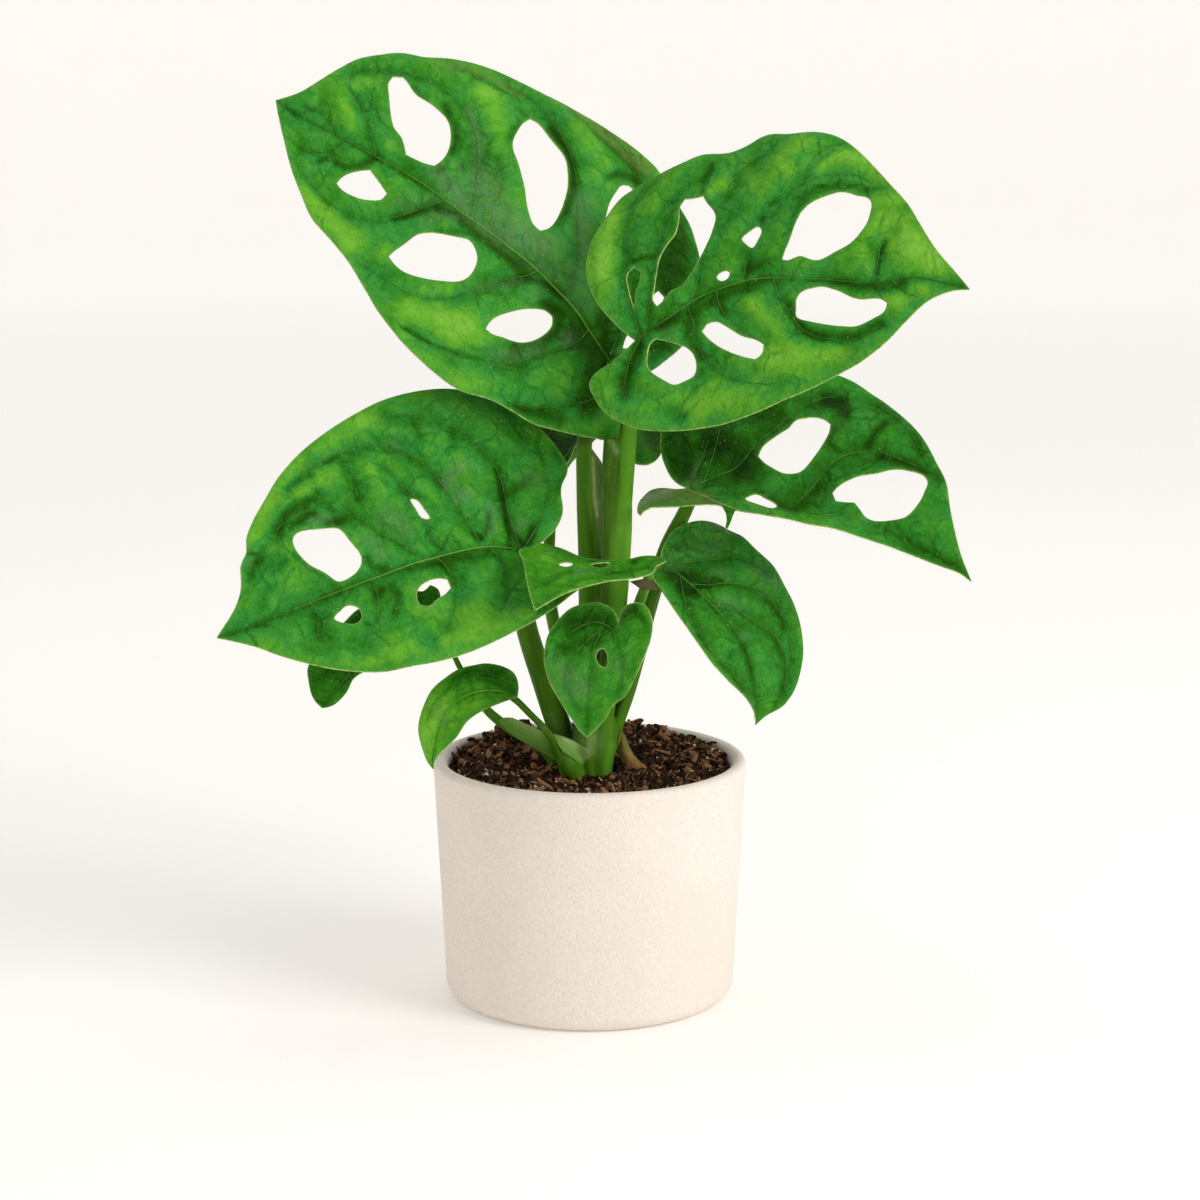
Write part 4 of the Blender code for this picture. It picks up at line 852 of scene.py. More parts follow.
            ([(440, 608), (470, 618), (500, 624)], 18, 0.6), ([(445, 640), (470, 632)], 9, 0.7),
            ([(390, 655), (412, 648)], 9, 0.6), ([(350, 664), (380, 660)], 8, 0.5),
        ],
        "sheen_marks": [
            ([(312, 522), (330, 516)], 4, 0.9), ([(385, 515), (398, 522), (405, 530)], 9, 0.6),
            ([(368, 540), (378, 548), (380, 556)], 6, 0.7), (307, 566, 7, 0.4), (247, 562, 5, 0.6),
            ([(460, 468), (452, 475), (448, 484)], 7, 0.9), ([(458, 498), (470, 494)], 6, 0.9),
            ([(488, 505), (495, 515), (492, 530)], 6, 0.6), ([(518, 528), (524, 521)], 5, 0.6),
            (396, 523, 9, 0.6), (534, 480, 12, 0.4), (395, 443, 9, 0.35),
        ],
        "dark": [
            ([(278, 528), (284, 516), (298, 505), (312, 499), (322, 494)], 5, 0.75),
            ([(330, 524), (345, 520)], 6, 0.75), ([(290, 528), (302, 521), (312, 514)], 4, 0.8),
            ([(279, 537), (287, 530)], 4, 0.5), ([(286, 489), (300, 480), (312, 475)], 3, 0.4),
            ([(325, 462), (338, 454)], 2.5, 0.5), ([(347, 466), (357, 482), (358, 497)], 3.5, 0.3),
            ([(247, 554), (258, 553)], 2.5, 0.7), ([(262, 545), (256, 562), (250, 580)], 4, 0.45),
            ([(275, 572), (286, 562)], 4, 0.5), ([(276, 584), (266, 592), (263, 604)], 4, 0.4),
            (367, 624, 4, 0.7), ([(374, 597), (384, 588)], 4, 0.5),
            ([(393, 588), (399, 598), (396, 612)], 6, 0.6), ([(366, 558), (372, 566), (384, 568)], 4, 0.6),
            ([(293, 553), (307, 568), (323, 576)], 2.5, 0.5),
            ([(498, 469), (502, 485), (505, 504), (508, 526), (517, 537), (526, 547)], 3.2, 1.0),
            ([(508, 528), (511, 545)], 4, 0.8), ([(533, 528), (529, 540), (524, 548)], 5, 0.9),
            ([(512, 490), (522, 486), (530, 478)], 5, 0.5),
            ([(488, 512), (489, 528), (482, 538), (474, 533)], 2.5, 0.8),
            ([(442, 488), (436, 478)], 5, 0.5), ([(414, 425), (418, 436), (424, 442)], 5, 0.45),
            ([(452, 430), (453, 445), (448, 452)], 5, 0.45), ([(408, 492), (420, 498)], 5, 0.4),
            ([(470, 398), (500, 408), (515, 420)], 6, 0.3), ([(556, 452), (562, 470), (560, 490)], 5, 0.45),
            ([(410, 570), (440, 562), (470, 556), (500, 553)], 5, 0.55), (560, 598, 14, 0.9),
            (542, 612, 8, 0.6),
        ],
        "holes": 4, "base": (0.1, 0.0), "rib_wide": 0.36,
    },
    "leaf_5_hanging": {
        "rib": [
            (655, 571), (673, 571.5), (690, 584), (717, 610), (734, 630), (748, 655), (754, 682),
            (756, 704), (755, 725),
        ],
        "veins": [
            [(660, 571), (665, 561), (672, 549), (685.5, 543), (705, 542)],
            [(664, 571), (668.5, 563.6), (700, 561), (717, 559), (734, 557.5), (751, 561), (765.5, 571)],
            [(690, 584), (709.7, 585), (724, 583), (741, 584), (756, 589), (768, 597.5), (777.6, 610),
             (785, 624), (790, 641), (792, 658)],
            [(714, 607), (729, 605), (743.6, 614.5), (758, 624), (773, 634), (782, 648), (786, 665),
             (785, 685), (780, 699), (770, 714)],
            [(680, 577), (683, 593), (688, 614.5), (700, 636), (717, 658), (734, 677.5), (748.5, 697)],
        ],
        "lime": [
            ([(700, 640), (716, 655)], 8, 0.3), ([(758, 660), (766, 680)], 8, 0.35), (775, 642, 6, 0.35),
            (772, 704, 8, 0.25),
        ],
        "sheen_marks": [
            ([(672, 560), (690, 550), (715, 545)], 12, 0.35),
            ([(712, 572), (722, 568), (728, 577)], 4, 0.5), ([(760, 570), (780, 585)], 12, 0.3),
            ([(722, 600), (740, 606)], 6, 0.45), (746, 638, 4, 0.7), (742, 700, 8, 0.5),
        ],
        "dark": [
            ([(680, 584), (694, 592)], 7, 0.8), ([(672, 576), (690, 574), (705, 582)], 7, 0.85),
            ([(705, 578), (722, 583)], 5, 0.6), ([(688, 600), (695, 620), (706, 645)], 5, 0.35),
            ([(728, 615), (742, 628)], 4, 0.25), (730, 655, 5, 0.4),
            ([(768, 600), (780, 612), (784, 625)], 4, 0.3), ([(776, 640), (784, 655)], 3.5, 0.3),
            ([(744, 645), (752, 668)], 3, 0.3),
        ],
        "holes": 0, "base": (0.0, 0.1), "cool": 0.7, "rib_wide": 0.25, "rib_dim": 0.5,
    },
    "leaf_6_front_heart": {
        "rib": [
            (614, 627.5), (605.4, 631), (598, 638), (594, 647), (592, 658), (590, 676), (588.4, 694),
            (587, 715), (586.6, 734.6),
        ],
        "veins": [
            [(600, 635), (596.4, 633), (580.4, 647), (569.6, 661), (565, 674), (566, 686), (571.4, 699),
             (578.6, 711)],
            [(612.5, 630), (617, 643.6), (622, 656), (623, 668.6), (621.4, 683), (617, 695)],
            [(610.7, 627), (596.4, 622), (582, 625.7), (568, 634.6), (557, 647), (552, 661)],
            [(615, 627), (626, 618), (638, 614), (645, 622)],
        ],
        "lime": [(621, 676, 6, 0.3)],
        "sheen_marks": [
            ([(566, 672), (580, 690)], 12, 0.7), (615, 667, 9, 0.5),
            ([(551, 655), (555, 680), (565, 700)], 4, 0.5),
        ],
        "dark": [
            ([(570, 625), (590, 617), (610, 622)], 14, 0.75), ([(622, 612), (634, 606)], 9, 0.85),
            ([(565, 650), (585, 638), (600, 640)], 8, 0.5),
        ],
        "holes": 1, "base": (0.1, 0.0), "cool": 0.5, "rib_wide": 0.22, "rib_dim": 0.7,
    },
    "leaf_7_over_rim": {
        "rib": [
            (515, 694), (507, 692), (493, 690.5), (478.6, 691.4), (466, 695.4), (455.4, 701.6),
            (448, 709.6), (442, 720.4), (437.5, 733), (434.8, 745.4), (432.7, 759.6), (432, 767),
        ],
        "veins": [
            [(514, 692), (507, 685.5), (496.4, 680), (484, 678.4), (471.4, 679), (457, 684), (444.6, 692),
             (434, 704), (427, 718.6)],
            [(511.6, 688), (505.4, 681), (493, 675), (478.6, 673), (466, 675), (453.6, 680)],
        ],
        "lime": [
            ([(440, 705), (430, 722), (428, 745), (433, 760)], 15, 1.0), ([(450, 700), (440, 725)], 8, 0.6),
            ([(460, 712), (475, 702)], 8, 0.35),
        ],
        "sheen_marks": [([(438, 708), (444, 722)], 6, 0.5)],
        "dark": [([(455, 676), (477, 668), (500, 670)], 6, 0.5)],
        "holes": 0, "base": (0.15, 0.0), "cool": 0.1, "rib_wide": 0.36,
    },
    "leaf_8_back_left": {
        "rib": [(422, 592), (395, 622), (365, 655), (340, 685), (322, 708)],
        "veins": [
            [(412, 603), (388, 606), (360, 620), (332, 646)],
            [(393, 624), (368, 634), (342, 656), (322, 684)],
            [(412, 603), (418, 618), (408, 636), (390, 650)], [(380, 639), (376, 654), (362, 666)],
        ],
        "lime": [(330, 690, 20, 0.4)],
        "dark": [(370, 640, 30, 0.3)],
        "holes": 0, "base": (0.0, 0.3), "cool": 0.2,
    },
    "leaf_9_behind_stems": {
        "rib": [(603, 424), (603, 400), (603, 378)],
        "veins": [
            [(602, 422), (585, 415), (562, 420), (546, 438)],
            [(604, 422), (622, 418), (645, 425), (655, 445)],
            [(603, 405), (580, 398), (558, 408), (545, 424)], [(603, 405), (628, 402), (648, 415)],
            [(602, 422), (590, 430), (574, 446), (562, 462)], [(604, 422), (620, 434), (636, 456)],
        ],
        "lime": [([(640, 430), (655, 452)], 14, 0.7)],
        "pale": [([(646, 436), (655, 448)], 8, 0.5)],
        "dark": [(603, 420, 60, 0.5), ([(550, 440), (565, 455), (575, 440)], 14, 0.9)],
        "holes": 0, "base": (0.0, 0.1), "cool": 0.3,
    },
    "leaf_10_low_front": {
        "rib": [(655, 567), (620, 571), (590, 577), (560, 590), (536, 610)],
        "veins": [
            [(543, 545), (555, 548), (566, 553), (577, 558), (593, 560.5)],
            [(620, 571), (600, 571), (580, 571), (560, 574), (545, 584)],
            [(600, 575), (575, 580), (556, 588)],
        ],
        "lime": [
            ([(556, 590), (575, 580), (600, 574)], 7, 0.4), ([(545, 560), (552, 575)], 6, 0.3),
            (640, 566, 6, 0.4),
        ],
        "sheen_marks": [([(576, 572), (589, 570)], 3, 0.6)],
        "dark": [(600, 562, 8, 0.4), ([(640, 556), (634, 561)], 4, 0.8)],
        "holes": 2, "base": (0.06, 0.05), "cool": 0.0, "rib_wide": 0.0,
    },
}
print("blades:", len(BLADES), "veins:", sum(len(blade["veins"]) for blade in BLADES.values()))

# %% [markdown]
# ## From a plain blade to a quilted leaf
#
# The solid blade is two alike skins. Its upper skin is kept and the rest deleted. Subdivision
# makes it fine enough for relief, and its border is pushed out beforehand, because
# subdivision pulls a border in. Then the points move along their normals: out between the
# veins, in along them. Modelling every panel by hand would give less natural swells.

# %% Keep the upper skin and round its border
FLAT_ANGLE = math.radians(60)
CORNER_TURN = math.radians(52)
QUAD_LIMIT = 0.6
SMALL_LOOP = 9
HOLD_ROUNDS = 14


def keep_upper_skin(piece):
    """Delete all but the side of a blade that faces the viewer."""
    mesh = piece.data
    facing = [-face.normal.y * face.area for face in mesh.polygons]
    select_none(mesh)
    mesh.polygons[facing.index(max(facing))].select = True
    bpy.ops.object.mode_set(mode="EDIT")
    bpy.ops.mesh.select_mode(type="FACE")
    bpy.ops.mesh.faces_select_linked_flat(sharpness=FLAT_ANGLE)
    bpy.ops.mesh.select_all(action="INVERT")
    bpy.ops.mesh.delete(type="FACE")
    bpy.ops.mesh.select_all(action="SELECT")
    bpy.ops.mesh.tris_convert_to_quads(face_threshold=QUAD_LIMIT, shape_threshold=QUAD_LIMIT)
    bpy.ops.object.mode_set(mode="OBJECT")


def border_loops(mesh):
    """The borders of a skin, each as a ring of point numbers."""
    count = {}
    for face in mesh.polygons:
        for key in face.edge_keys:
            count[key] = count.get(key, 0) + 1
    beside = {}
    for (a, b), faces in count.items():
        if faces == 1:
            beside.setdefault(a, []).append(b)
            beside.setdefault(b, []).append(a)
    loops = []
    left = set(beside)
    while left:
        start = min(left)
        loop = [start]
        left.discard(start)
        here = start
        while True:
            ahead = [v for v in beside[here] if v in left]
            if not ahead:
                break
            here = ahead[0]
            left.discard(here)
            loop.append(here)
        loops.append(loop)
    return loops


def hold_border(mesh):
    """Push the border out so that, once subdivided, it runs through the solid's own points."""
    places = corners(mesh)
    crease = mesh.attributes.new("crease_vert", "FLOAT", "POINT")
    loops = border_loops(mesh)
    for loop in loops:
        target = places[loop]
        before = target - np.roll(target, 1, axis=0)
        after = np.roll(target, -1, axis=0) - target
        cosine = (before * after).sum(axis=1)
        cosine /= np.linalg.norm(before, axis=1) * np.linalg.norm(after, axis=1)
        corner = (np.arccos(np.clip(cosine, -1, 1)) > CORNER_TURN) & (len(loop) > SMALL_LOOP)
        moved = target.copy()
        for _ in range(HOLD_ROUNDS):
            reached = (np.roll(moved, 1, axis=0) + 4 * moved + np.roll(moved, -1, axis=0)) / 6
            moved += (target - reached) * (~corner)[:, None]
        places[loop] = moved
        for number, is_corner in zip(loop, corner):
            crease.data[number].value = 1.0 if is_corner else 0.0
    set_corners(mesh, places)
    return len(loops)


# %% Lay lines on a skin
LINE_STEP = 3.0
GAP_JUMP = 0.006
CURVE_STEP = 0.4 * MM


def lay_line(tree, line):
    """A picture line dropped along the view onto a skin, cut where it crosses a gap."""
    pieces = [[]]
    for point in smooth_run([(x, y, 0.0) for x, y in line], LINE_STEP):
        place, normal, _, _ = tree.ray_cast(EYE, sight(point.x, point.y))
        if place is None or (pieces[-1] and (place - pieces[-1][-1][0]).length > GAP_JUMP):
            if pieces[-1]:
                pieces.append([])
            if place is None:
                continue
        pieces[-1].append((place, normal))
    return [piece for piece in pieces if len(piece) > 2]


def lay_lines(piece, blade):
    """The midrib, side veins and folds of a blade, laid on its skin."""
    tree = tree_of(piece)
    veins = [part for line in blade["veins"] for part in lay_line(tree, line)]
    folds = [part for line in blade.get("folds", []) for part in lay_line(tree, line)]
    return lay_line(tree, blade["rib"]), veins, folds


def close_points(parts):
    """Close points on the smooth curves through some laid lines."""
    return [p for part in parts for p in smooth_run([place for place, _ in part], CURVE_STEP)]


# %% Relief and stored tints
PANEL_SWELL = 2.10 * MM
PANEL_REACH = 6.5 * MM
GROOVE_DEPTH = 0.45 * MM
GROOVE_REACH = 1.3 * MM
MARGIN_FADE = 3.6 * MM
WAVE_HEIGHT = 1.60 * MM
WAVE_SCALE = 48.0
DENT_HEIGHT = 0.75 * MM
DENT_SCALE = 135.0
FULL_RELIEF_POINTS = 9000.0
PINCH = 0.7
PINCH_REACH = 0.8 * MM
GROOVE_SHADE_REACH = 1.15 * MM
RIB_REACH = 22.0 * MM
OUTER_REACH = 11.0 * MM
EDGE_REACH = 0.9 * MM
# How strong the painted shade along the veins is, and how much it grows near the midrib.
GROOVE_SHADE = 0.06
GROOVE_SHADE_BY_RIB = 0.22


def fall_off(distance, reach):
    """1 at no distance, falling smoothly to 0 over a reach."""
    return np.exp(-(distance / reach) ** 2)


def spots_at(picture, marks):
    """How strongly each picture point lies in some soft marks, round spots or lines."""
    strengths = np.zeros(len(picture))
    for mark in marks:
        if len(mark) == 4:
            x, y, reach, strength = mark
            away = ((picture - (x, y)) ** 2).sum(axis=1)
        else:
            points, reach, strength = mark
            away = np.full(len(picture), 1e9)
            for start, stop in zip(np.array(points[:-1], float), np.array(points[1:], float)):
                run = stop - start
                share = np.clip(((picture - start) @ run) / (run @ run), 0, 1)[:, None]
                away = np.minimum(away, ((picture - start - share * run) ** 2).sum(axis=1))
        strengths = np.maximum(strengths, strength * np.exp(-away / reach ** 2))
    return strengths


def store(mesh, name, values):
    mesh.attributes.new(name, "FLOAT", "POINT").data.foreach_set("value", values.astype(np.float32))


def store_tints(mesh, blade, picture, to_vein, to_rib, to_border, to_outline):
    """Store where a blade is lime, dark (deep green and painted shade), pale, in painted sheen or cool, and
    where its borders are.
    """
    lime, dark = blade["base"]
    # Painted shade along the veins, stronger near the midrib.
    by_rib = GROOVE_SHADE + GROOVE_SHADE_BY_RIB * fall_off(to_rib, RIB_REACH)
    groove = fall_off(to_vein, GROOVE_SHADE_REACH) * by_rib
    store(mesh, "patch", np.clip(lime + spots_at(picture, blade["lime"]), 0, 1))
    store(mesh, "shade", np.clip(dark + spots_at(picture, blade["dark"]) + groove, 0, 1))
    store(mesh, "pale", spots_at(picture, blade.get("pale", [])))
    store(mesh, "sheen", spots_at(picture, blade.get("sheen_marks", [])))
    store(mesh, "cool", np.full(len(picture), blade.get("cool", 1.0)))
    store(mesh, "outer", fall_off(to_outline, OUTER_REACH))
    store(mesh, "edge", fall_off(to_border, EDGE_REACH))


def quilt(piece, blade):
    """Swell the panels of a blade, sink its veins and store its tints."""
    mesh = piece.data
    ribs, veins, _ = lay_lines(piece, blade)
    places = corners(mesh)
    flat = np.empty(len(mesh.vertices) * 3)
    mesh.vertex_normals.foreach_get("vector", flat)
    loops = border_loops(mesh)
    to_border, _ = nearest_in([mesh.vertices[i].co for loop in loops for i in loop], places)
    to_outline, _ = nearest_in([mesh.vertices[i].co for i in max(loops, key=len)], places)
    to_vein, on_vein = nearest_in(close_points(ribs + veins), places)
    to_rib = nearest_in(close_points(ribs), places)[0] if ribs else to_vein
    fade = 1 - fall_off(to_border, MARGIN_FADE)
    near = np.clip(1 - to_vein / PINCH_REACH, 0, 1)[:, None] ** 2
    places += (on_vein - places) * near * PINCH * fade[:, None]
    lift = PANEL_SWELL * (1 - fall_off(to_vein, PANEL_REACH)) - PANEL_SWELL / 2
    lift -= GROOVE_DEPTH * fall_off(to_vein, GROOVE_REACH)
    waves = np.array([noise.noise(Vector(p) * WAVE_SCALE) for p in places])
    dents = np.array([noise.noise(Vector(p) * DENT_SCALE) for p in places])
    lift += WAVE_HEIGHT * waves + DENT_HEIGHT * dents
    lift *= min(1.0, math.sqrt(len(places) / FULL_RELIEF_POINTS))
    set_corners(mesh, places + flat.reshape(-1, 3) * (lift * fade)[:, None])
    # The relief height is kept, so that the material paints shade into the hollows and light onto the
    # swells.
    store(mesh, "relief", lift / MM)
    store_tints(mesh, blade, to_picture(places), to_vein, to_rib, to_border, to_outline)


# %% Tubes along lines
def tube(name, lines, sides=2):
    """Round tubes along lines of (place, radius), joined in one mesh."""
    bpy.ops.object.select_all(action="DESELECT")
    bpy.ops.curve.primitive_bezier_curve_add()
    piece = bpy.context.object
    piece.name = name
    piece.matrix_world = Matrix.Identity(4)
    curve = piece.data
    curve.splines.clear()
    curve.dimensions = "3D"
    curve.bevel_depth = 1.0
    curve.bevel_resolution = sides
    curve.use_fill_caps = True
    for line in lines:
        spline = curve.splines.new("POLY")
        spline.points.add(len(line) - 1)
        for point, (place, radius) in zip(spline.points, line):
            point.co = (*place, 1.0)
            point.radius = radius
    only(piece)
    bpy.ops.object.convert(target="MESH")
    return piece


def tapered(line, start, stop, lift):
    """A laid line as tube points whose radius runs from start to stop."""
    last = max(len(line) - 1, 1)
    return [(place + normal * lift, start + (stop - start) * i / last)
            for i, (place, normal) in enumerate(line)]


# %% Margin and midrib
MARGIN_RADIUS = 0.24 * MM
RIB_WIDE = 0.40
RIB_NARROWS = 0.4
RIB_RAISE = 0.22 * MM
RIB_START = 0.60 * MM
RIB_END = 0.28 * MM
RIB_SINK = 0.45 * MM


def build_margin(mesh, size):
    """A fine tube round each border of a skin."""
    rims = []
    for loop in border_loops(mesh):
        ring = [(mesh.vertices[i].co.copy(), MARGIN_RADIUS * (0.8 + 0.2 * size)) for i in loop]
        rims.append(ring + ring[:2])
    return tube("rims", rims, 1), margin_paint


def build_rib(ribs, blade, size):
    """A fine midrib above, which stores how far along it is, and a thick one below."""
    wide = blade.get("rib_wide", RIB_WIDE) * MM
    above = [tapered(rib, wide, RIB_NARROWS * wide, RIB_RAISE) for rib in ribs]
    upper = tube("ribs", above)
    points = [place for line in above for place, _ in line]
    tree = point_tree(points)
    along = np.array([tree.find(place)[1] for place in corners(upper.data)]) / len(points)
    store(upper.data, "along", along)
    store(upper.data, "dim", np.full(len(along), blade.get("rib_dim", 0.0)))
    below = [tapered(rib, RIB_START * size, RIB_END, -RIB_SINK) for rib in ribs]
    return [(upper, rib_paint), (tube("ribs_below", below), under_vein_paint)]


# %% Build one blade
BLADE_THICKNESS = 0.50 * MM
VEIN_START = 0.24 * MM
VEIN_END = 0.13 * MM
VEIN_RAISE = 0.24 * MM
VEIN_SINK = 0.30 * MM
VEIN_BELOW = 1.5
FOLD_RAISE = 0.2 * MM
SMALL_FACES = 60
SMALL_SIZE = 0.65


def build_leaf(node, blade):
    """One finished leaf in place of its solid."""
    piece = cad_copy(node, node.replace("leaf", "blade"))
    keep_upper_skin(piece)
    loops = hold_border(piece.data)
    size = 1.0 if len(piece.data.polygons) > SMALL_FACES else SMALL_SIZE
    apply_modifier(piece, "SUBSURF", levels=3, render_levels=3, boundary_smooth="ALL")
    quilt(piece, blade)
    ribs, veins, folds = lay_lines(piece, blade)
    parts = [build_margin(piece.data, size)]
    if ribs and blade.get("rib_wide", RIB_WIDE):
        parts += build_rib(ribs, blade, size)
    if folds:
        pale_lines = [tapered(fold, MARGIN_RADIUS, MARGIN_RADIUS, FOLD_RAISE) for fold in folds]
        parts.append((tube("folds", pale_lines), margin_paint))
    if veins:
        above = [tapered(vein, VEIN_START * size, VEIN_END * size, VEIN_RAISE) for vein in veins]
        below = [tapered(vein, VEIN_START * VEIN_BELOW * size, VEIN_END, -VEIN_SINK) for vein in veins]
        parts.append((tube("veins", above, 1), thread_paint))
        parts.append((tube("veins_below", below, 1), under_vein_paint))
    give_paint(piece, blade_paint, under_paint, margin_paint)
    apply_modifier(piece, "SOLIDIFY", thickness=BLADE_THICKNESS, offset=0.0, material_offset=1,
                   material_offset_rim=2)
    for part, paint in parts:
        give_paint(part, paint)
    only(piece, *[part for part, _ in parts])
    bpy.ops.object.join()
    smooth(piece, 50)
    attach(piece, "root")
    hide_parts(node)
    print(piece.name, "holes", loops - 1, "of", blade["holes"], "veins", len(veins), "faces",
          len(piece.data.polygons))
    return piece


leaves = {node: build_leaf(node, blade) for node, blade in BLADES.items()}

# %% [markdown]
# ## Leaf stalks
#
# A stalk is a smooth fleshy rod. A curve with a round bevel is how such a rod is drawn by
# hand: the middle of each ring of the solid gives a point and a radius, and the curve runs
# smoothly through them. Two stalks lean in at their foot, a thin one is slimmer than its solid,
# and a curled one is drawn through picture points. The end is led into its blade, so no gap is
# left there.

# %% Stalk skin
# Colours of the stalk skin: the lime one serves lime skin and painted light, the pale one pale skin and
# painted highlights, and the dark one painted shade.
STALK_GREEN = (0.060, 0.165, 0.005)
STALK_OLIVE = (0.036, 0.098, 0.002)
STALK_LIME_AND_LIT = (0.105, 0.330, 0.018)
STALK_PALE_AND_HIGHLIGHT = (0.330, 0.450, 0.170)
STALK_IN_SHADE = (0.010, 0.035, 0.002)

stalk_paint = new_material("leaf stalk skin")
along = attribute(stalk_paint, "grain", "Vector")
where = place_of(stalk_paint)
broad = cloud(stalk_paint, along, 300.0, 4.0)
lines = cloud(stalk_paint, along, 1500.0, 3.0)
spots = cloud(stalk_paint, where, 130.0, 3.0)
light = attribute(stalk_paint, "light")
fair = attribute(stalk_paint, "fair")
tone = mix(stalk_paint, between(stalk_paint, broad, 0.36, 0.64), STALK_GREEN, STALK_OLIVE)
# Light above 0 turns the skin lime, for a lighter stalk and for painted light; below 0 it turns it dark, as
# painted shade.
tone = mix(stalk_paint, between(stalk_paint, light, 0.0, 1.0), tone, STALK_LIME_AND_LIT)
tone = mix(stalk_paint, between(stalk_paint, light, -1.0, 0.0, 1.0, 0.0), tone, STALK_IN_SHADE)
tone = mix(stalk_paint, between(stalk_paint, lines, 0.50, 0.80, 0.0, 0.40), tone, STALK_LIME_AND_LIT)
tone = mix(stalk_paint, between(stalk_paint, spots, 0.60, 0.80, 0.0, 0.25), tone, STALK_PALE_AND_HIGHLIGHT)
skin = between(stalk_paint, lines, 0.30, 0.62, 0.35, 1.0)
# Fair paints pale skin and painted highlights.
tone = mix(stalk_paint, times(stalk_paint, fair, skin), tone, STALK_PALE_AND_HIGHLIGHT)
polish = between(stalk_paint, lines, 0.3, 0.7, 0.34, 0.48)
rough = bumps(stalk_paint, (lines, 0.20 * MM, 0.7), (broad, 0.60 * MM, 0.4))
set_skin(stalk_paint, tone, rough, polish, 0.09)

# %% Read the rings of a stalk solid
RING = 9
RING_INNER = 5


def rings_of(piece):
    """The solid's rings of points from its foot to its top, as middle and radius."""
    mesh = piece.data
    places = corners(mesh)
    beside = {i: set() for i in range(len(mesh.vertices))}
    for edge in mesh.edges:
        a, b = edge.vertices
        beside[a].add(b)
        beside[b].add(a)
    ring = set(int(i) for i in np.argsort(places[:, 2])[:RING])
    seen = set()
    result = []
    while ring:
        seen |= ring
        spread = places[sorted(ring)]
        middle = spread.mean(axis=0)
        away = np.sort(np.linalg.norm(spread - middle, axis=1))
        result.append((Vector(middle), float(away[:RING_INNER].mean())))
        ring = {b for a in ring for b in beside[a]} - seen
    return result


# %% Grain and tints of a stalk
GRAIN_STRETCH = 0.05
# Marks in picture points, as on the blades: pools of painted light, painted shade where leaves and stalks
# shade each other, and pale marks that are partly pale skin and partly painted highlights.
STALK_PAINTED_LIGHT = [([(600, 728), (595, 780)], 22, 0.35), ([(594, 764), (598, 782)], 10, 0.45),
               ([(584, 588), (585, 606)], 11, 0.5), ([(548, 612), (556, 632)], 7, 0.7),
               ([(612, 745), (606, 768)], 6, 0.6)]
STALK_PAINTED_SHADE = [([(602, 470), (603, 520), (604, 560)], 5, 0.7),
               ([(558, 650), (566, 700), (571, 738)], 6, 0.8), (602, 657, 10, 0.8),
               ([(578, 440), (600, 440), (640, 434)], 5, 0.5), ([(692, 508), (684, 522)], 6, 0.4)]
STALK_PALE_AND_HIGHLIGHT_MARKS = [(591, 742, 9, 0.7), ([(593, 739), (587, 756)], 4, 0.8),
              ([(549, 716), (562, 733)], 5, 0.2), ([(566, 739), (580, 747), (589, 756)], 3.5, 0.7),
              ([(512, 719), (524, 724), (540, 731)], 4, 0.45), ([(612, 442), (617, 452)], 3, 0.5),
              ([(593, 458), (594.5, 497), (597, 516)], 1.4, 0.8)]


def tint_stalk(piece, light, fair=0.0):
    """Store how light a stalk is, with its painted light and painted shade, and where it has pale skin or
    painted highlights.
    """
    mesh = piece.data
    picture = to_picture(corners(mesh))
    store(mesh, "light", light + spots_at(picture, STALK_PAINTED_LIGHT) - spots_at(picture, STALK_PAINTED_SHADE))
    store(mesh, "fair", np.clip(fair + spots_at(picture, STALK_PALE_AND_HIGHLIGHT_MARKS), 0, 1))


def grain_of(piece, line, light):
    """Store, for each point of a rod, a place that runs slowly along it and fast round it."""
    middles = [place for place, _ in line]
    lengths = run_along(middles)
    tree = point_tree(middles)
    values = []
    for vert in piece.data.vertices:
        middle, number, _ = tree.find(vert.co)
        offset = vert.co - middle
        values += [offset.x, offset.y, lengths[number] * GRAIN_STRETCH]
    grain = piece.data.attributes.new("grain", "FLOAT_VECTOR", "POINT")
    grain.data.foreach_set("vector", values)
    tint_stalk(piece, light)


# %% The line of a stalk
STALK_STEP = 2.0 * MM
SOFT_RADII = 7
LEANING = ("stalk_3", "stalk_5")
LEAN_IN = 0.19
LEAN_BELOW = 0.108
THIN_STALK = "stalk_8"
THIN_SHARE = 0.68
THIN_RAISE = 0.7 * MM
CURLED_STALK = "stalk_7"
# Picture x and y, depth and radius in mm.
CURL = [(567.0, 776, -7.6, 2.8), (561.0, 758, -8.8, 2.1), (554.0, 743, -10.6, 1.65),
        (543.8, 728, -12.9, 1.35), (530.5, 714.5, -14.8, 1.25), (517.0, 701.0, -16.3, 1.35),
        (506.0, 693.5, -18.1, 1.30)]


def picture_rod(run):
    """Places and radii from (picture x, picture y, depth in mm, radius in mm)."""
    return [(spot(px, py, depth * MM), radius * MM) for px, py, depth, radius in run]


def stalk_line(node):
    """The places and radii of a stalk from its foot to its top."""
    if node == CURLED_STALK:
        return picture_rod(CURL)
    solid = cad_copy(node, "measure")
    line = rings_of(solid)
    bpy.data.objects.remove(solid, do_unlink=True)
    if node in LEANING:
        return [(place - Vector((LEAN_IN * max(LEAN_BELOW - place.z, 0.0), 0, 0)), radius)
                for place, radius in line]
    if node == THIN_STALK:
        return [(place + Vector((0, 0, THIN_RAISE)), radius * THIN_SHARE) for place, radius in line]
    return line


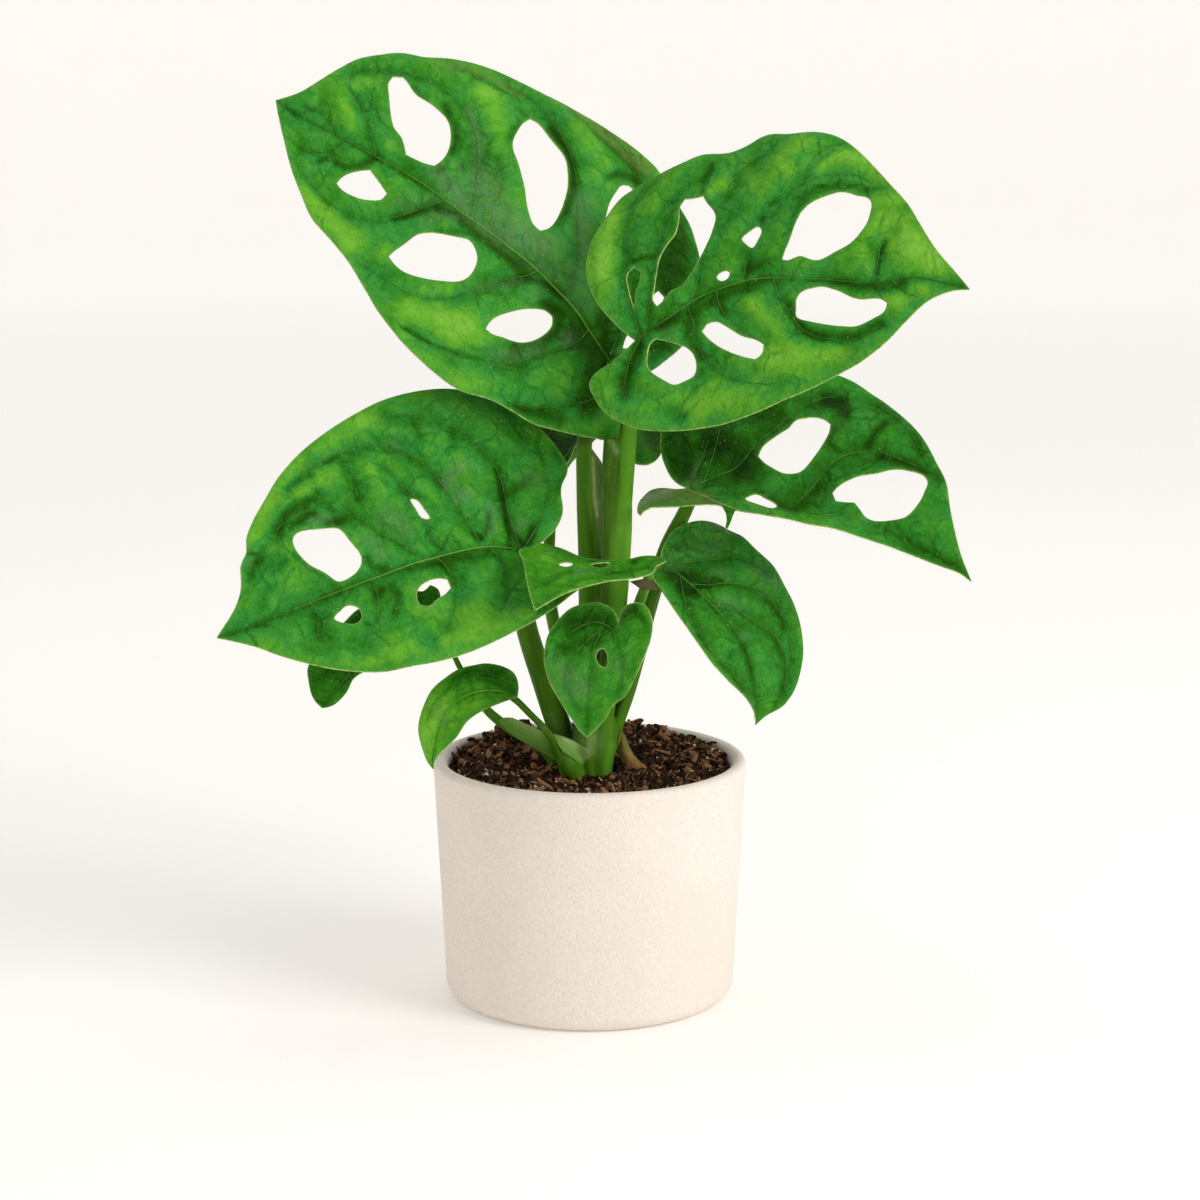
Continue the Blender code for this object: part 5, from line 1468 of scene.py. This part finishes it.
def smooth_rod(line):
    """Places and radii a stalk step apart, smooth through the given ones."""
    places = smooth_run([place for place, _ in line], STALK_STEP)
    given = run_along([place for place, _ in line])
    run = np.array(run_along(places))
    run = run * given[-1] / run[-1]
    radii = np.interp(run, given, [radius for _, radius in line])
    wide = np.pad(radii, SOFT_RADII // 2, mode="edge")
    return list(zip(places, np.convolve(wide, np.ones(SOFT_RADII) / SOFT_RADII, mode="valid")))


# %% Build the stalks
LED_IN = 0.92
# The leaf of each stalk, and how light its skin is.
STALK_LEAVES = {
    "stalk_1": ("leaf_1_upper_left", 0.30), "stalk_2": ("leaf_2_upper_right", 0.10),
    "stalk_3": ("leaf_3_right", 0.55), "stalk_4": ("leaf_4_left", 0.22),
    "stalk_5": ("leaf_5_hanging", 0.35), "stalk_6": ("leaf_6_front_heart", 0.25),
    "stalk_7": ("leaf_7_over_rim", 0.15), "stalk_8": ("leaf_8_back_left", 0.35),
    "stalk_9": ("leaf_9_behind_stems", 0.30), "stalk_10": ("leaf_10_low_front", 0.60),
}

stalks = {}
for node, (leaf, light) in STALK_LEAVES.items():
    line = stalk_line(node)
    top, radius = line[-1]
    reach = tree_of(leaves[leaf]).find_nearest(top)[0] - top
    line.append((top + reach * LED_IN, radius * LED_IN))
    rod = smooth_rod(line)
    piece = tube(node.replace("stalk", "leaf_stalk"), [rod], 5)
    grain_of(piece, rod, light)
    give_paint(piece, stalk_paint)
    smooth(piece, 60)
    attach(piece, "root")
    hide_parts(node)
    stalks[node] = (piece, line)
    print(piece.name, "rings", len(line), "reach", round(reach.length / MM, 2), "mm")

# %% [markdown]
# ## Two stalks with a sheath grown on
# The two big stalks are no plain rods: a thick sheath is grown on along one side, so the cut
# would look like a bean. A second rod is laid half inside the stalk, and both are remeshed to
# one skin. On one of them, painted light runs along the rod side of the seam between them and
# painted shade along the sheath side. A colour change runs along the seam between them.

# %% Grow the sheaths on
SKIN_VOXEL = 0.55 * MM
# Picture x and y, radius in mm, and mm behind the stalk's own middle.
GROWN_ON = {
    "stalk_1": [[(594.0, 470, 0.6, 0.0), (595.5, 500, 1.2, 0.0), (596.5, 545, 2.1, 0.0),
                 (597.0, 590, 2.5, 0.0), (597.0, 640, 2.6, 0.0), (594.0, 690, 1.8, 0.0)]],
    "stalk_2": [[(611.0, 438, 2.6, 0.0), (610.6, 447, 3.0, 0.0), (610.3, 470, 3.2, 0.0),
                 (610.0, 520, 3.3, 0.0), (609.4, 558, 3.3, 0.0), (608.5, 600, 3.2, 0.0),
                 (606.5, 650, 2.7, 0.0), (604, 690, 1.6, 0.0)],
                [(627, 500, 2.0, -1.0), (626, 520, 2.5, -1.0), (624, 545, 2.9, -1.0),
                 (621.3, 587, 2.9, -1.0), (619, 620, 2.6, -1.0), (616, 660, 2.0, -1.0)]],
}
# The seam of the second stalk in picture points: painted light on the rod to its right, painted shade on
# the sheath to its left.
SEAM_STALK = "stalk_2"
SEAM = [(622.4, 427), (618.8, 443), (618.6, 485), (611.8, 545), (612.0, 592), (608.0, 640)]
SEAM_SOFT = 3.0
SEAM_TOP, SEAM_TOP_FADE = 395, 25.0
SEAM_FOOT, SEAM_FOOT_FADE = 700, 60.0
SEAM_LEVEL, SEAM_LIT, SEAM_SHADED = 0.10, 0.55, 0.35
SEAM_PAINTED_LIGHT = [([(612, 586), (613, 606)], 12, 0.45)]


def own_depth(line, py):
    """The depth of a stalk's middle line at a picture height."""
    picture = to_picture(np.array([tuple(place) for place, _ in line]))
    order = np.argsort(picture[:, 1])
    return float(np.interp(py, picture[order, 1], np.array([place.y for place, _ in line])[order]))


def seam_painted_light(piece):
    """How light each point of a stalk is: painted light right of its seam, painted shade left of it, and a
    pool of painted light low down.
    """
    picture = to_picture(corners(piece.data))
    seam = np.interp(picture[:, 1], [y for _, y in SEAM], [x for x, _ in SEAM])
    side = np.clip((picture[:, 0] - seam) / SEAM_SOFT, -1, 1)
    above_foot = np.clip((SEAM_FOOT - picture[:, 1]) / SEAM_FOOT_FADE, 0, 1)
    below_top = np.clip((picture[:, 1] - SEAM_TOP) / SEAM_TOP_FADE, 0, 1)
    change = above_foot * below_top * np.where(side > 0, SEAM_LIT, SEAM_SHADED) * side
    return SEAM_LEVEL + change + spots_at(picture, SEAM_PAINTED_LIGHT)


def one_skin(piece, rounds):
    """Remesh overlapping rods to one skin, and smooth it a number of rounds."""
    apply_modifier(piece, "REMESH", mode="VOXEL", voxel_size=SKIN_VOXEL)
    apply_modifier(piece, "SMOOTH", factor=0.5, iterations=rounds)


for node, runs in GROWN_ON.items():
    piece, line = stalks[node]
    rods = []
    for run in runs:
        rod = [(spot(px, py, own_depth(line, py) + step * MM), radius * MM) for px, py, radius, step in run]
        rods.append(smooth_rod(rod))
    only(piece, tube("grown_on", rods, 5))
    bpy.ops.object.join()
    one_skin(piece, 8)
    stored = piece.data.attributes
    for name in [item.name for item in stored if item.name in ("grain", "light", "fair")]:
        stored.remove(stored[name])
    grain_of(piece, smooth_rod(line), STALK_LEAVES[node][1])
    if node == SEAM_STALK:
        values = seam_painted_light(piece).astype(np.float32)
        piece.data.attributes["light"].data.foreach_set("value", values)
    give_paint(piece, stalk_paint)
    smooth(piece, 60)
    print(piece.name, "with its sheath, faces", len(piece.data.polygons))

# %% [markdown]
# ## The crown
#
# At soil level the stalks clasp each other and grow out of one short stem. Modelled apart
# they would show seams, so the lower stalks and the stem are joined and remeshed to one skin.
# The feet run on into the soil and towards the stem's axis, so that none ends in a ledge.

# %% Crown
# The solid is slimmed: its top round one middle, and the part below the shoulder round another.
SHOULDER = 0.0985
TOP_SIZE, TOP_MIDDLE, TOP_RAISE = (0.80, 0.80, 1.0), (0.0047, -0.0015, 0.1), 0.002
BASE_SIZE, BASE_MIDDLE, BASE_SHIFT = (0.86, 0.95, 1.0), (0.0042, -0.003, 0.09), -0.0021
CLASPED = ("stalk_1", "stalk_2", "stalk_3", "stalk_5", "stalk_6", "stalk_9", "stalk_10")
CLASP_LOW = 0.101
CLASP_HIGH = 0.132
CLASP_FAT = 1.5 * MM
CLASP_THIN = 0.6 * MM
LEANING_FAT = 0.25
CROWN_AXIS = Vector((0.0042, -0.0030, 0.0))
FOOT_REACH = 0.030
# How far below its lowest ring a foot runs on, and its share of the radius there.
FOOT_RUN = ((0.003, 0.97), (0.006, 0.92), (0.010, 0.84))
# Swollen leaf bases: picture x and y, depth and radius in mm.
SWOLLEN = [
    [(557, 744, -8.6, 1.0), (561, 750, -9.0, 2.4), (565, 757, -9.3, 3.6), (569, 763, -9.0, 4.3),
     (572, 770, -8.2, 4.1), (575, 778, -7.2, 3.6), (577, 786, -6.4, 3.0)],
    [(590, 690, 0.0, 2.0), (587, 705, -0.8, 3.0), (584, 722, -1.8, 4.2), (584, 740, -2.8, 5.0),
     (588, 758, -3.6, 4.9), (591, 768, -4.4, 4.2), (593, 778, -4.6, 3.7), (594, 788, -4.4, 3.2)],
]
CROWN_SPINE = [(Vector((0.0038, -0.0032, z * MM)), 0.0) for z in range(74, 124)]

crown = cad_copy("crown", "crown_stem")
select_none(crown.data)
for vert in crown.data.vertices:
    vert.select = vert.co.z > SHOULDER
bpy.ops.object.mode_set(mode="EDIT")
bpy.ops.mesh.select_mode(type="VERT")
bpy.ops.transform.resize(value=TOP_SIZE, center_override=TOP_MIDDLE)
bpy.ops.transform.translate(value=(0, 0, TOP_RAISE))
bpy.ops.mesh.select_all(action="INVERT")
bpy.ops.transform.resize(value=BASE_SIZE, center_override=BASE_MIDDLE)
bpy.ops.transform.translate(value=(BASE_SHIFT, 0, 0))
bpy.ops.object.mode_set(mode="OBJECT")


def foot_of(node):
    """The lowest part of a stalk, fatter towards the soil and led on into it."""
    fat = CLASP_FAT * (LEANING_FAT if node in LEANING else 1.0)
    foot = []
    for place, radius in smooth_rod(stalks[node][1]):
        share = min(max((place.z - CLASP_LOW) / (CLASP_HIGH - CLASP_LOW), 0.0), 1.0)
        if place.z < CLASP_HIGH:
            foot.append((place, radius + fat * (1 - share) ** 2 - CLASP_THIN * share))
    place, radius = foot[0]
    for drop, slim in FOOT_RUN:
        lean = (CROWN_AXIS - Vector((place.x, place.y, 0))) * (drop / FOOT_REACH)
        foot.insert(0, (place + lean - Vector((0, 0, drop)), radius * slim))
    return foot


feet = [foot_of(node) for node in CLASPED] + [picture_rod(run) for run in SWOLLEN]
only(crown, tube("clasp", feet, 4))
bpy.ops.object.join()
one_skin(crown, 14)
grain_of(crown, CROWN_SPINE, 0.15)
give_paint(crown, stalk_paint)
smooth(crown, 60)
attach(crown, "root")
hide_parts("crown")
print("crown faces:", len(crown.data.polygons))

# %% [markdown]
# ## Thin sheets: bract, wing and flaps
#
# Each stalk began wrapped in a thin sheath. Its free edges stand off as papery wings and flaps,
# and a pale bract, a small scale leaf, closes the foot of the left stalks. A grid is stretched
# between two edge lines of the picture. Where a stem lies behind, the sheet is laid on it.

# %% Stretch a sheet between two edges
LAY_GAP = 0.5 * MM
PIXEL = 0.375 * MM
SHEET_THICKNESS = 0.4 * MM
NOTHING_BEHIND = 1.0
DIVE_START = 0.2


def edge_at(line, share):
    """A point (picture x, picture y, depth) at a share of an edge line's length."""
    points = np.array(line, float)
    run = np.concatenate([[0], np.cumsum(np.linalg.norm(np.diff(points[:, :2], axis=0), axis=1))])
    return [float(np.interp(share * run[-1], run, points[:, i])) for i in range(3)]


def sheet(name, edges, bulge, behind, cells, soften=12, thick=SHEET_THICKNESS, dive=0.0):
    """A thin sheet between two edge lines, bulging to the viewer and laid on what is behind.

    With dive, its last part sinks that many mm, so that it grows into what it lies on.
    """
    one, two = edges
    bpy.ops.object.select_all(action="DESELECT")
    bpy.ops.mesh.primitive_grid_add(x_subdivisions=cells[0], y_subdivisions=cells[1], size=2.0)
    piece = bpy.context.object
    piece.name = name
    grid = corners(piece.data)
    places = []
    depth = np.zeros(len(grid))
    limit = np.full(len(grid), NOTHING_BEHIND)
    for i, (x, y, _) in enumerate(grid):
        along, across = (x + 1) / 2, (y + 1) / 2
        a, b = edge_at(one, along), edge_at(two, along)
        px, py, given = [p + (q - p) * across for p, q in zip(a, b)]
        places.append((px, py))
        depth[i] = given * MM - bulge * MM * math.sin(math.pi * across)
        hit = behind.ray_cast(EYE, sight(px, py))[0] if behind else None
        if hit is not None:
            limit[i] = hit.y - LAY_GAP
    limit = limit.reshape(-1, cells[0] + 1)
    depth = np.minimum(depth.reshape(limit.shape), limit)
    for _ in range(soften):
        wide = np.pad(depth, 1, mode="edge")
        mean = (wide[:-2, 1:-1] + wide[2:, 1:-1] + wide[1:-1, :-2] + wide[1:-1, 2:]) / 4
        depth = np.minimum((depth + mean) / 2, limit)
    sink = np.clip((grid[:, 0] - DIVE_START) / (1 - DIVE_START), 0, 1) ** 2 * dive * MM
    points = [tuple(spot(px, py, d)) for (px, py), d in zip(places, depth.ravel() + sink)]
    set_corners(piece.data, np.array(points))
    settle(piece)
    long = sum(math.dist(a[:2], b[:2]) for a, b in zip(one, one[1:])) * PIXEL
    wide = math.dist(one[len(one) // 2][:2], two[len(two) // 2][:2]) * PIXEL
    run = np.stack([grid[:, 1] * wide, 0 * grid[:, 0], grid[:, 0] * long * GRAIN_STRETCH], 1)
    grain = piece.data.attributes.new("grain", "FLOAT_VECTOR", "POINT")
    grain.data.foreach_set("vector", run.ravel())
    apply_modifier(piece, "SOLIDIFY", thickness=thick, offset=0.0)
    return piece


def dress_sheet(piece, paint, light=0.0, fair=0.0):
    """Give a sheet its skin and its body."""
    give_paint(piece, paint)
    if paint == stalk_paint:
        tint_stalk(piece, light, fair)
    smooth(piece, 60)
    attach(piece, "root")
    print(piece.name, "faces", len(piece.data.polygons))


# %% Bract, wing and flaps
# The two edge lines of each: picture x and y, and depth in mm.
BRACT = (
    [(553.5, 734, -9), (562, 736, -9), (573.3, 740.5, -8), (581, 745.0, -6), (587.9, 750.5, -3),
     (593, 757, 0), (596, 765, 0)],
    [(555.0, 738, -11), (558.6, 746, -11.5), (563, 752, -11), (571, 757, -10), (577.8, 762, -6),
     (583, 765.5, -3), (588, 768, 0)])
WING = (
    [(499.5, 719.5, -4.2), (506, 717.4, -4.4), (512.5, 717.6, -4.6), (523.8, 722.6, -4.4),
     (535, 727.4, -4.0), (542.9, 732, -3.8), (549.6, 743, -3.6), (556, 756, -3.2)],
    [(498.5, 721.5, -4.6), (508, 731.0, -4.8), (520, 740.0, -5.0), (531, 746.0, -5.0),
     (540, 751.0, -4.8), (548, 756, -4.6), (556, 761, -4.4)])
FLAP = (
    [(592.0, 449, 5.5), (601.8, 462, 4.0), (604.4, 473, 1.5), (605.0, 509, 0.0), (604.4, 533, 0.0),
     (604, 562, 1.0)],
    [(591.5, 452, 5.5), (590.5, 461, 4.8), (591.5, 497, 3.6), (594.0, 518.6, 3.2), (598, 540, 3.0),
     (601, 560, 3.2)])

bract = sheet("bract", BRACT, 0.5, tree_of(crown, stalks["stalk_7"][0]), (44, 12), 16, dive=2.6)
dress_sheet(bract, stalk_paint, 0.60, 0.36)
wing = sheet("wing_of_stalk_8", WING, 1.0, None, (44, 10))
dress_sheet(wing, stalk_paint, 0.55, 0.30)
flap = sheet("flap_of_stalk_1", FLAP, 0.6, tree_of(stalks["stalk_1"][0]), (48, 8))
dress_sheet(flap, stalk_paint, 0.10, 0.22)

# %% Torn flap of the folded leaf, and the joint of the low leaf
JOINT_TAN = (0.105, 0.092, 0.040)
JOINT_DARK = (0.045, 0.045, 0.018)
TORN = ([(722, 505.5, -3.0), (726, 513, -3.5), (727, 520, -4.0), (725.6, 527.5, -4.5)],
        [(736, 509.5, -3.0), (733, 515, -3.5), (731, 521, -4.0), (727.4, 528.5, -4.5)])
JOINT = ([(629.5, 581.5, -27), (642, 579.0, -27), (651, 576.5, -26)],
         [(633, 583.0, -27), (643, 591.0, -27), (658, 589.0, -25)])

torn = sheet("torn_flap", TORN, 0.8, tree_of(leaves["leaf_3_right"]), (16, 8))
dress_sheet(torn, blade_paint)
joint_skin = leafy("dry skin", JOINT_TAN, JOINT_DARK, 260.0, 0.7, 0.5 * MM)
joint = sheet("joint_of_stalk_10", JOINT, 0.6, None, (20, 6))
dress_sheet(joint, joint_skin)

# %% [markdown]
# ## Soil
#
# The soil is moist peat with bark. Its solid gives the slope, and finer relief and loose
# crumbs give the texture. Each crumb is a small lump with few faces, because there are
# thousands of them. Few are pale, and the small tan and pale bits lie on top, where they show.

# %% Soil and bark materials
SOIL_BLACK = (0.011, 0.0048, 0.0024)
SOIL_BROWN = (0.260, 0.130, 0.062)
BARK_RED = (0.430, 0.200, 0.088)
CHIP_TAN = (0.720, 0.470, 0.260)
CHIP_CREAM = (0.780, 0.660, 0.480)
CHIP_WHITE = (0.900, 0.850, 0.760)


def earthy(name, dark, pale, scale):
    """Dull crumbly matter whose tone changes from grain to grain."""
    material = new_material(name)
    where = place_of(material)
    coarse = cloud(material, where, scale, 4.0, 0.65)
    fine = cloud(material, where, scale * 7, 4.0, 0.7)
    both = total(material, times(material, coarse, fine, "ADD"), (attribute(material, "tone"), 0.0, 0.85))
    tone = mix(material, between(material, both, 0.98, 1.86), dark, pale)
    rough = bumps(material, (fine, 0.4 * MM, 0.8), (coarse, 0.8 * MM, 0.6))
    polish = between(material, coarse, 0.3, 0.7, 0.78, 0.95)
    set_skin(material, tone, rough, polish, 0.12)
    return material


soil_paint = earthy("moist peat", SOIL_BLACK, SOIL_BROWN, 260.0)
bark_paint = earthy("bark chips", SOIL_BROWN, BARK_RED, 330.0)
tan_paint = earthy("tan bits", BARK_RED, CHIP_TAN, 500.0)
white_paint = earthy("pale bits", CHIP_CREAM, CHIP_WHITE, 700.0)

# %% Soil surface
SOIL_NOISE, SOIL_NOISE_SCALE = 1.7 * MM, 330
SOIL_FINE, SOIL_FINE_SCALE = 0.45 * MM, 900
INNER_RIM = 0.0545
RIM_FADE = 0.002
SOIL_LOW = 0.075
# The upper faces and points are those whose normals rise more than this.
UP_FACE = 0.35
UP_POINT = 0.3

soil = cad_copy("soil", "soil_fill")
select_none(soil.data)
for face in soil.data.polygons:
    face.select = face.normal.z > UP_FACE and face.center.z > SOIL_LOW
bpy.ops.object.mode_set(mode="EDIT")
bpy.ops.mesh.select_mode(type="FACE")
bpy.ops.mesh.subdivide(number_cuts=4)
bpy.ops.object.mode_set(mode="OBJECT")
places = corners(soil.data)
upper = np.array([v.normal.z > UP_POINT for v in soil.data.vertices]) & (places[:, 2] > SOIL_LOW)
for i in np.flatnonzero(upper):
    place = Vector(places[i])
    fade = min(max((INNER_RIM - math.hypot(place.x, place.y)) / RIM_FADE, 0.0), 1.0)
    rise = SOIL_NOISE * noise.noise(place * SOIL_NOISE_SCALE)
    rise += SOIL_FINE * noise.noise(place * SOIL_FINE_SCALE)
    places[i][2] += rise * fade
set_corners(soil.data, places)
give_paint(soil, soil_paint)
smooth(soil, 60)
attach(soil, "root")
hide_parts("soil")
print("soil faces:", len(soil.data.polygons))

# %% One crumb, copied many times
PALE_RARITY = 2.4
STRETCH_LEAST, STRETCH_MOST = 0.7, 1.35


def lump(name, stretch):
    """A small many-sided lump shaped from an icosphere, one metre in radius."""
    bpy.ops.object.select_all(action="DESELECT")
    bpy.ops.mesh.primitive_ico_sphere_add(subdivisions=1, radius=1.0)
    piece = bpy.context.object
    piece.name = name
    bpy.ops.object.mode_set(mode="EDIT")
    bpy.ops.transform.vertex_random(offset=0.5, seed=len(name))
    bpy.ops.transform.resize(value=stretch)
    bpy.ops.object.mode_set(mode="OBJECT")
    return piece


def scatter(name, model, places, paint, seed, tilt=0.7):
    """Copies of one modelled lump at (place, size) spots, as one mesh."""
    chance = random.Random(seed)
    tint = random.Random(seed + 1000)
    shape = [vert.co.copy() for vert in model.data.vertices]
    skins = [list(face.vertices) for face in model.data.polygons]
    verts, faces, tones = [], [], []
    for place, size in places:
        turn = Euler([chance.uniform(-tilt, tilt), chance.uniform(-tilt, tilt), chance.uniform(0, 6.28)])
        stretch = Vector([chance.uniform(STRETCH_LEAST, STRETCH_MOST) for _ in range(3)])
        first = len(verts)
        tones += [tint.random() ** PALE_RARITY] * len(shape)
        for point in shape:
            local = Vector([p * s for p, s in zip(point, stretch)]) * size
            local.rotate(turn)
            verts.append(place + local)
        faces += [[first + i for i in skin] for skin in skins]
    mesh = bpy.data.meshes.new(name)
    mesh.from_pydata(verts, [], faces)
    store(mesh, "tone", np.array(tones))
    piece = bpy.data.objects.new(name, mesh)
    scene.collection.objects.link(piece)
    give_paint(piece, paint)
    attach(piece, "root")
    bpy.data.objects.remove(model, do_unlink=True)
    print(name, "pieces", len(places), "faces", len(faces))


# %% Loose soil
DOWN = Vector((0, 0, -1))
DROP_HEIGHT = 0.125
GROUND_LOW = 0.080
CRUMB = (1.25, 0.75, 0.6)
BIT_RAISE = 1.2 * MM
# Piece, lump and its stretch, how many, least and greatest size in mm, seed, material, and what
# differs from the usual.
LOOSE = [
    ("soil_crumbs", "crumb", CRUMB, 1500, 0.6, 1.9, 4, soil_paint, {}),
    ("soil_grit", "grit", CRUMB, 2600, 0.3, 0.8, 24, soil_paint, {}),
    ("peat_fibres", "fibre", (2.2, 0.32, 0.26), 1500, 0.7, 1.8, 34, soil_paint, {"tilt": 1.1}),
    ("soil_crumbs_rear", "crumb", CRUMB, 420, 0.7, 1.9, 14, soil_paint, {"behind": 0.014, "heap": 0.9}),
    ("bark_chips", "chip", (1.5, 0.6, 0.3), 130, 1.2, 3.4, 6, bark_paint, {"within": 0.051}),
    ("tan_bits", "sliver", (2.0, 0.45, 0.4), 420, 0.3, 0.85, 8, tan_paint,
     {"within": 0.053, "tilt": 1.0, "lift": BIT_RAISE}),
    ("pale_bits", "grain", (1.3, 0.8, 0.6), 130, 0.28, 0.75, 10, white_paint,
     {"within": 0.053, "lift": BIT_RAISE}),
]

soil_tree = tree_of(soil)
stem_tree = tree_of(crown, *[stalks[n][0] for n in ("stalk_4", "stalk_7", "stalk_8")])


def ground_spots(count, low, high, seed, within, behind):
    """Random spots on the soil, clear of the stems, each with a size."""
    chance = random.Random(seed)
    found = []
    while len(found) < count:
        radius = within * math.sqrt(chance.random())
        angle = chance.uniform(0, 2 * math.pi)
        size = low + (high - low) * chance.random() ** 2
        x, y = radius * math.cos(angle), radius * math.sin(angle)
        if math.hypot(x, y) + size * 0.6 > within + 0.4 * MM or y <= behind:
            continue
        start = Vector((x, y, DROP_HEIGHT))
        if stem_tree.ray_cast(start, DOWN)[0] is not None:
            continue
        hit = soil_tree.ray_cast(start, DOWN)[0]
        if hit is None or hit.z < GROUND_LOW:
            continue
        found.append((hit + Vector((0, 0, size * chance.uniform(0.0, 0.5))), size))
    return found


for name, model, stretch, count, least, most, seed, paint, other in LOOSE:
    found = ground_spots(count, least * MM, most * MM, seed, other.get("within", INNER_RIM),
                         other.get("behind", -1.0))
    raised = [(place + Vector((0, 0, other.get("lift", 0.0) + size * other.get("heap", 0.0))), size)
              for place, size in found]
    scatter(name, lump(model, stretch), raised, paint, seed + 1, other.get("tilt", 0.7))

# %% Lumps that stand out
# Picture x and y, and size in mm.
LUMPS = [(528, 753, 3.6), (536, 758, 2.4), (461, 763, 2.3), (534, 767, 1.7), (549, 765, 1.4),
         (672, 776, 1.8), (688, 771, 1.6), (500, 762, 1.8), (560, 781, 1.5), (720, 762, 1.6),
         (612, 779, 2.2), (645, 790, 1.8), (505, 775, 1.5), (478, 752, 1.6), (549, 770, 2.0),
         (563, 782, 1.9), (572, 784, 2.0), (580, 781, 1.6), (634, 786, 1.5)]
big_spots = []
for px, py, size in LUMPS:
    hit = soil_tree.ray_cast(EYE, sight(px, py))[0]
    if hit is not None:
        big_spots.append((hit + Vector((0, 0, 0.3 * size * MM)), size * MM))
scatter("bark_lumps", lump("knob", (1, 0.8, 0.75)), big_spots, bark_paint, 13)

# %% [markdown]
# ## The dry sheath
#
# A dead leaf sheath, brown and papery, still stands beside the crown. It is curled round a
# stalk that is gone, so it is a sheet with a strong bulge.

# %% Dry sheath
DRY_BROWN = (0.430, 0.225, 0.080)
DRY_DARK = (0.200, 0.095, 0.030)
DRY_OLIVE = (0.150, 0.170, 0.028)
DRY_RIM = 0.0958
OLIVE_RISE = 0.005

# The two edge lines: picture x and y, and depth in mm.
SHEATH = (
    [(620.6, 730.5, 2.5), (618.0, 740, 1.0), (617.6, 749, 0.0), (621, 757, -0.5), (623.5, 764, -0.5),
     (624, 772, -0.5)],
    [(621.6, 731, 2.5), (625, 736.5, 1.5), (628.4, 745.8, 0.5), (634, 755.9, 0.0), (641, 763, 0.0),
     (653, 771, 0.0)])

dry_paint = leafy("papery sheath", DRY_BROWN, DRY_DARK, 260.0, 0.7, 0.5 * MM)
high = add(dry_paint, "ShaderNodeSeparateXYZ", {"Vector": place_of(dry_paint)}).outputs["Z"]
olive = between(dry_paint, high, DRY_RIM - OLIVE_RISE, DRY_RIM + OLIVE_RISE, 0.0, 0.9)
tint_over(dry_paint, olive, DRY_OLIVE)
papery = sheet("papery_sheath", SHEATH, 2.6, tree_of(crown), (36, 16), 4, 0.5 * MM)
dress_sheet(papery, dry_paint)
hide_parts("dry_sheath")
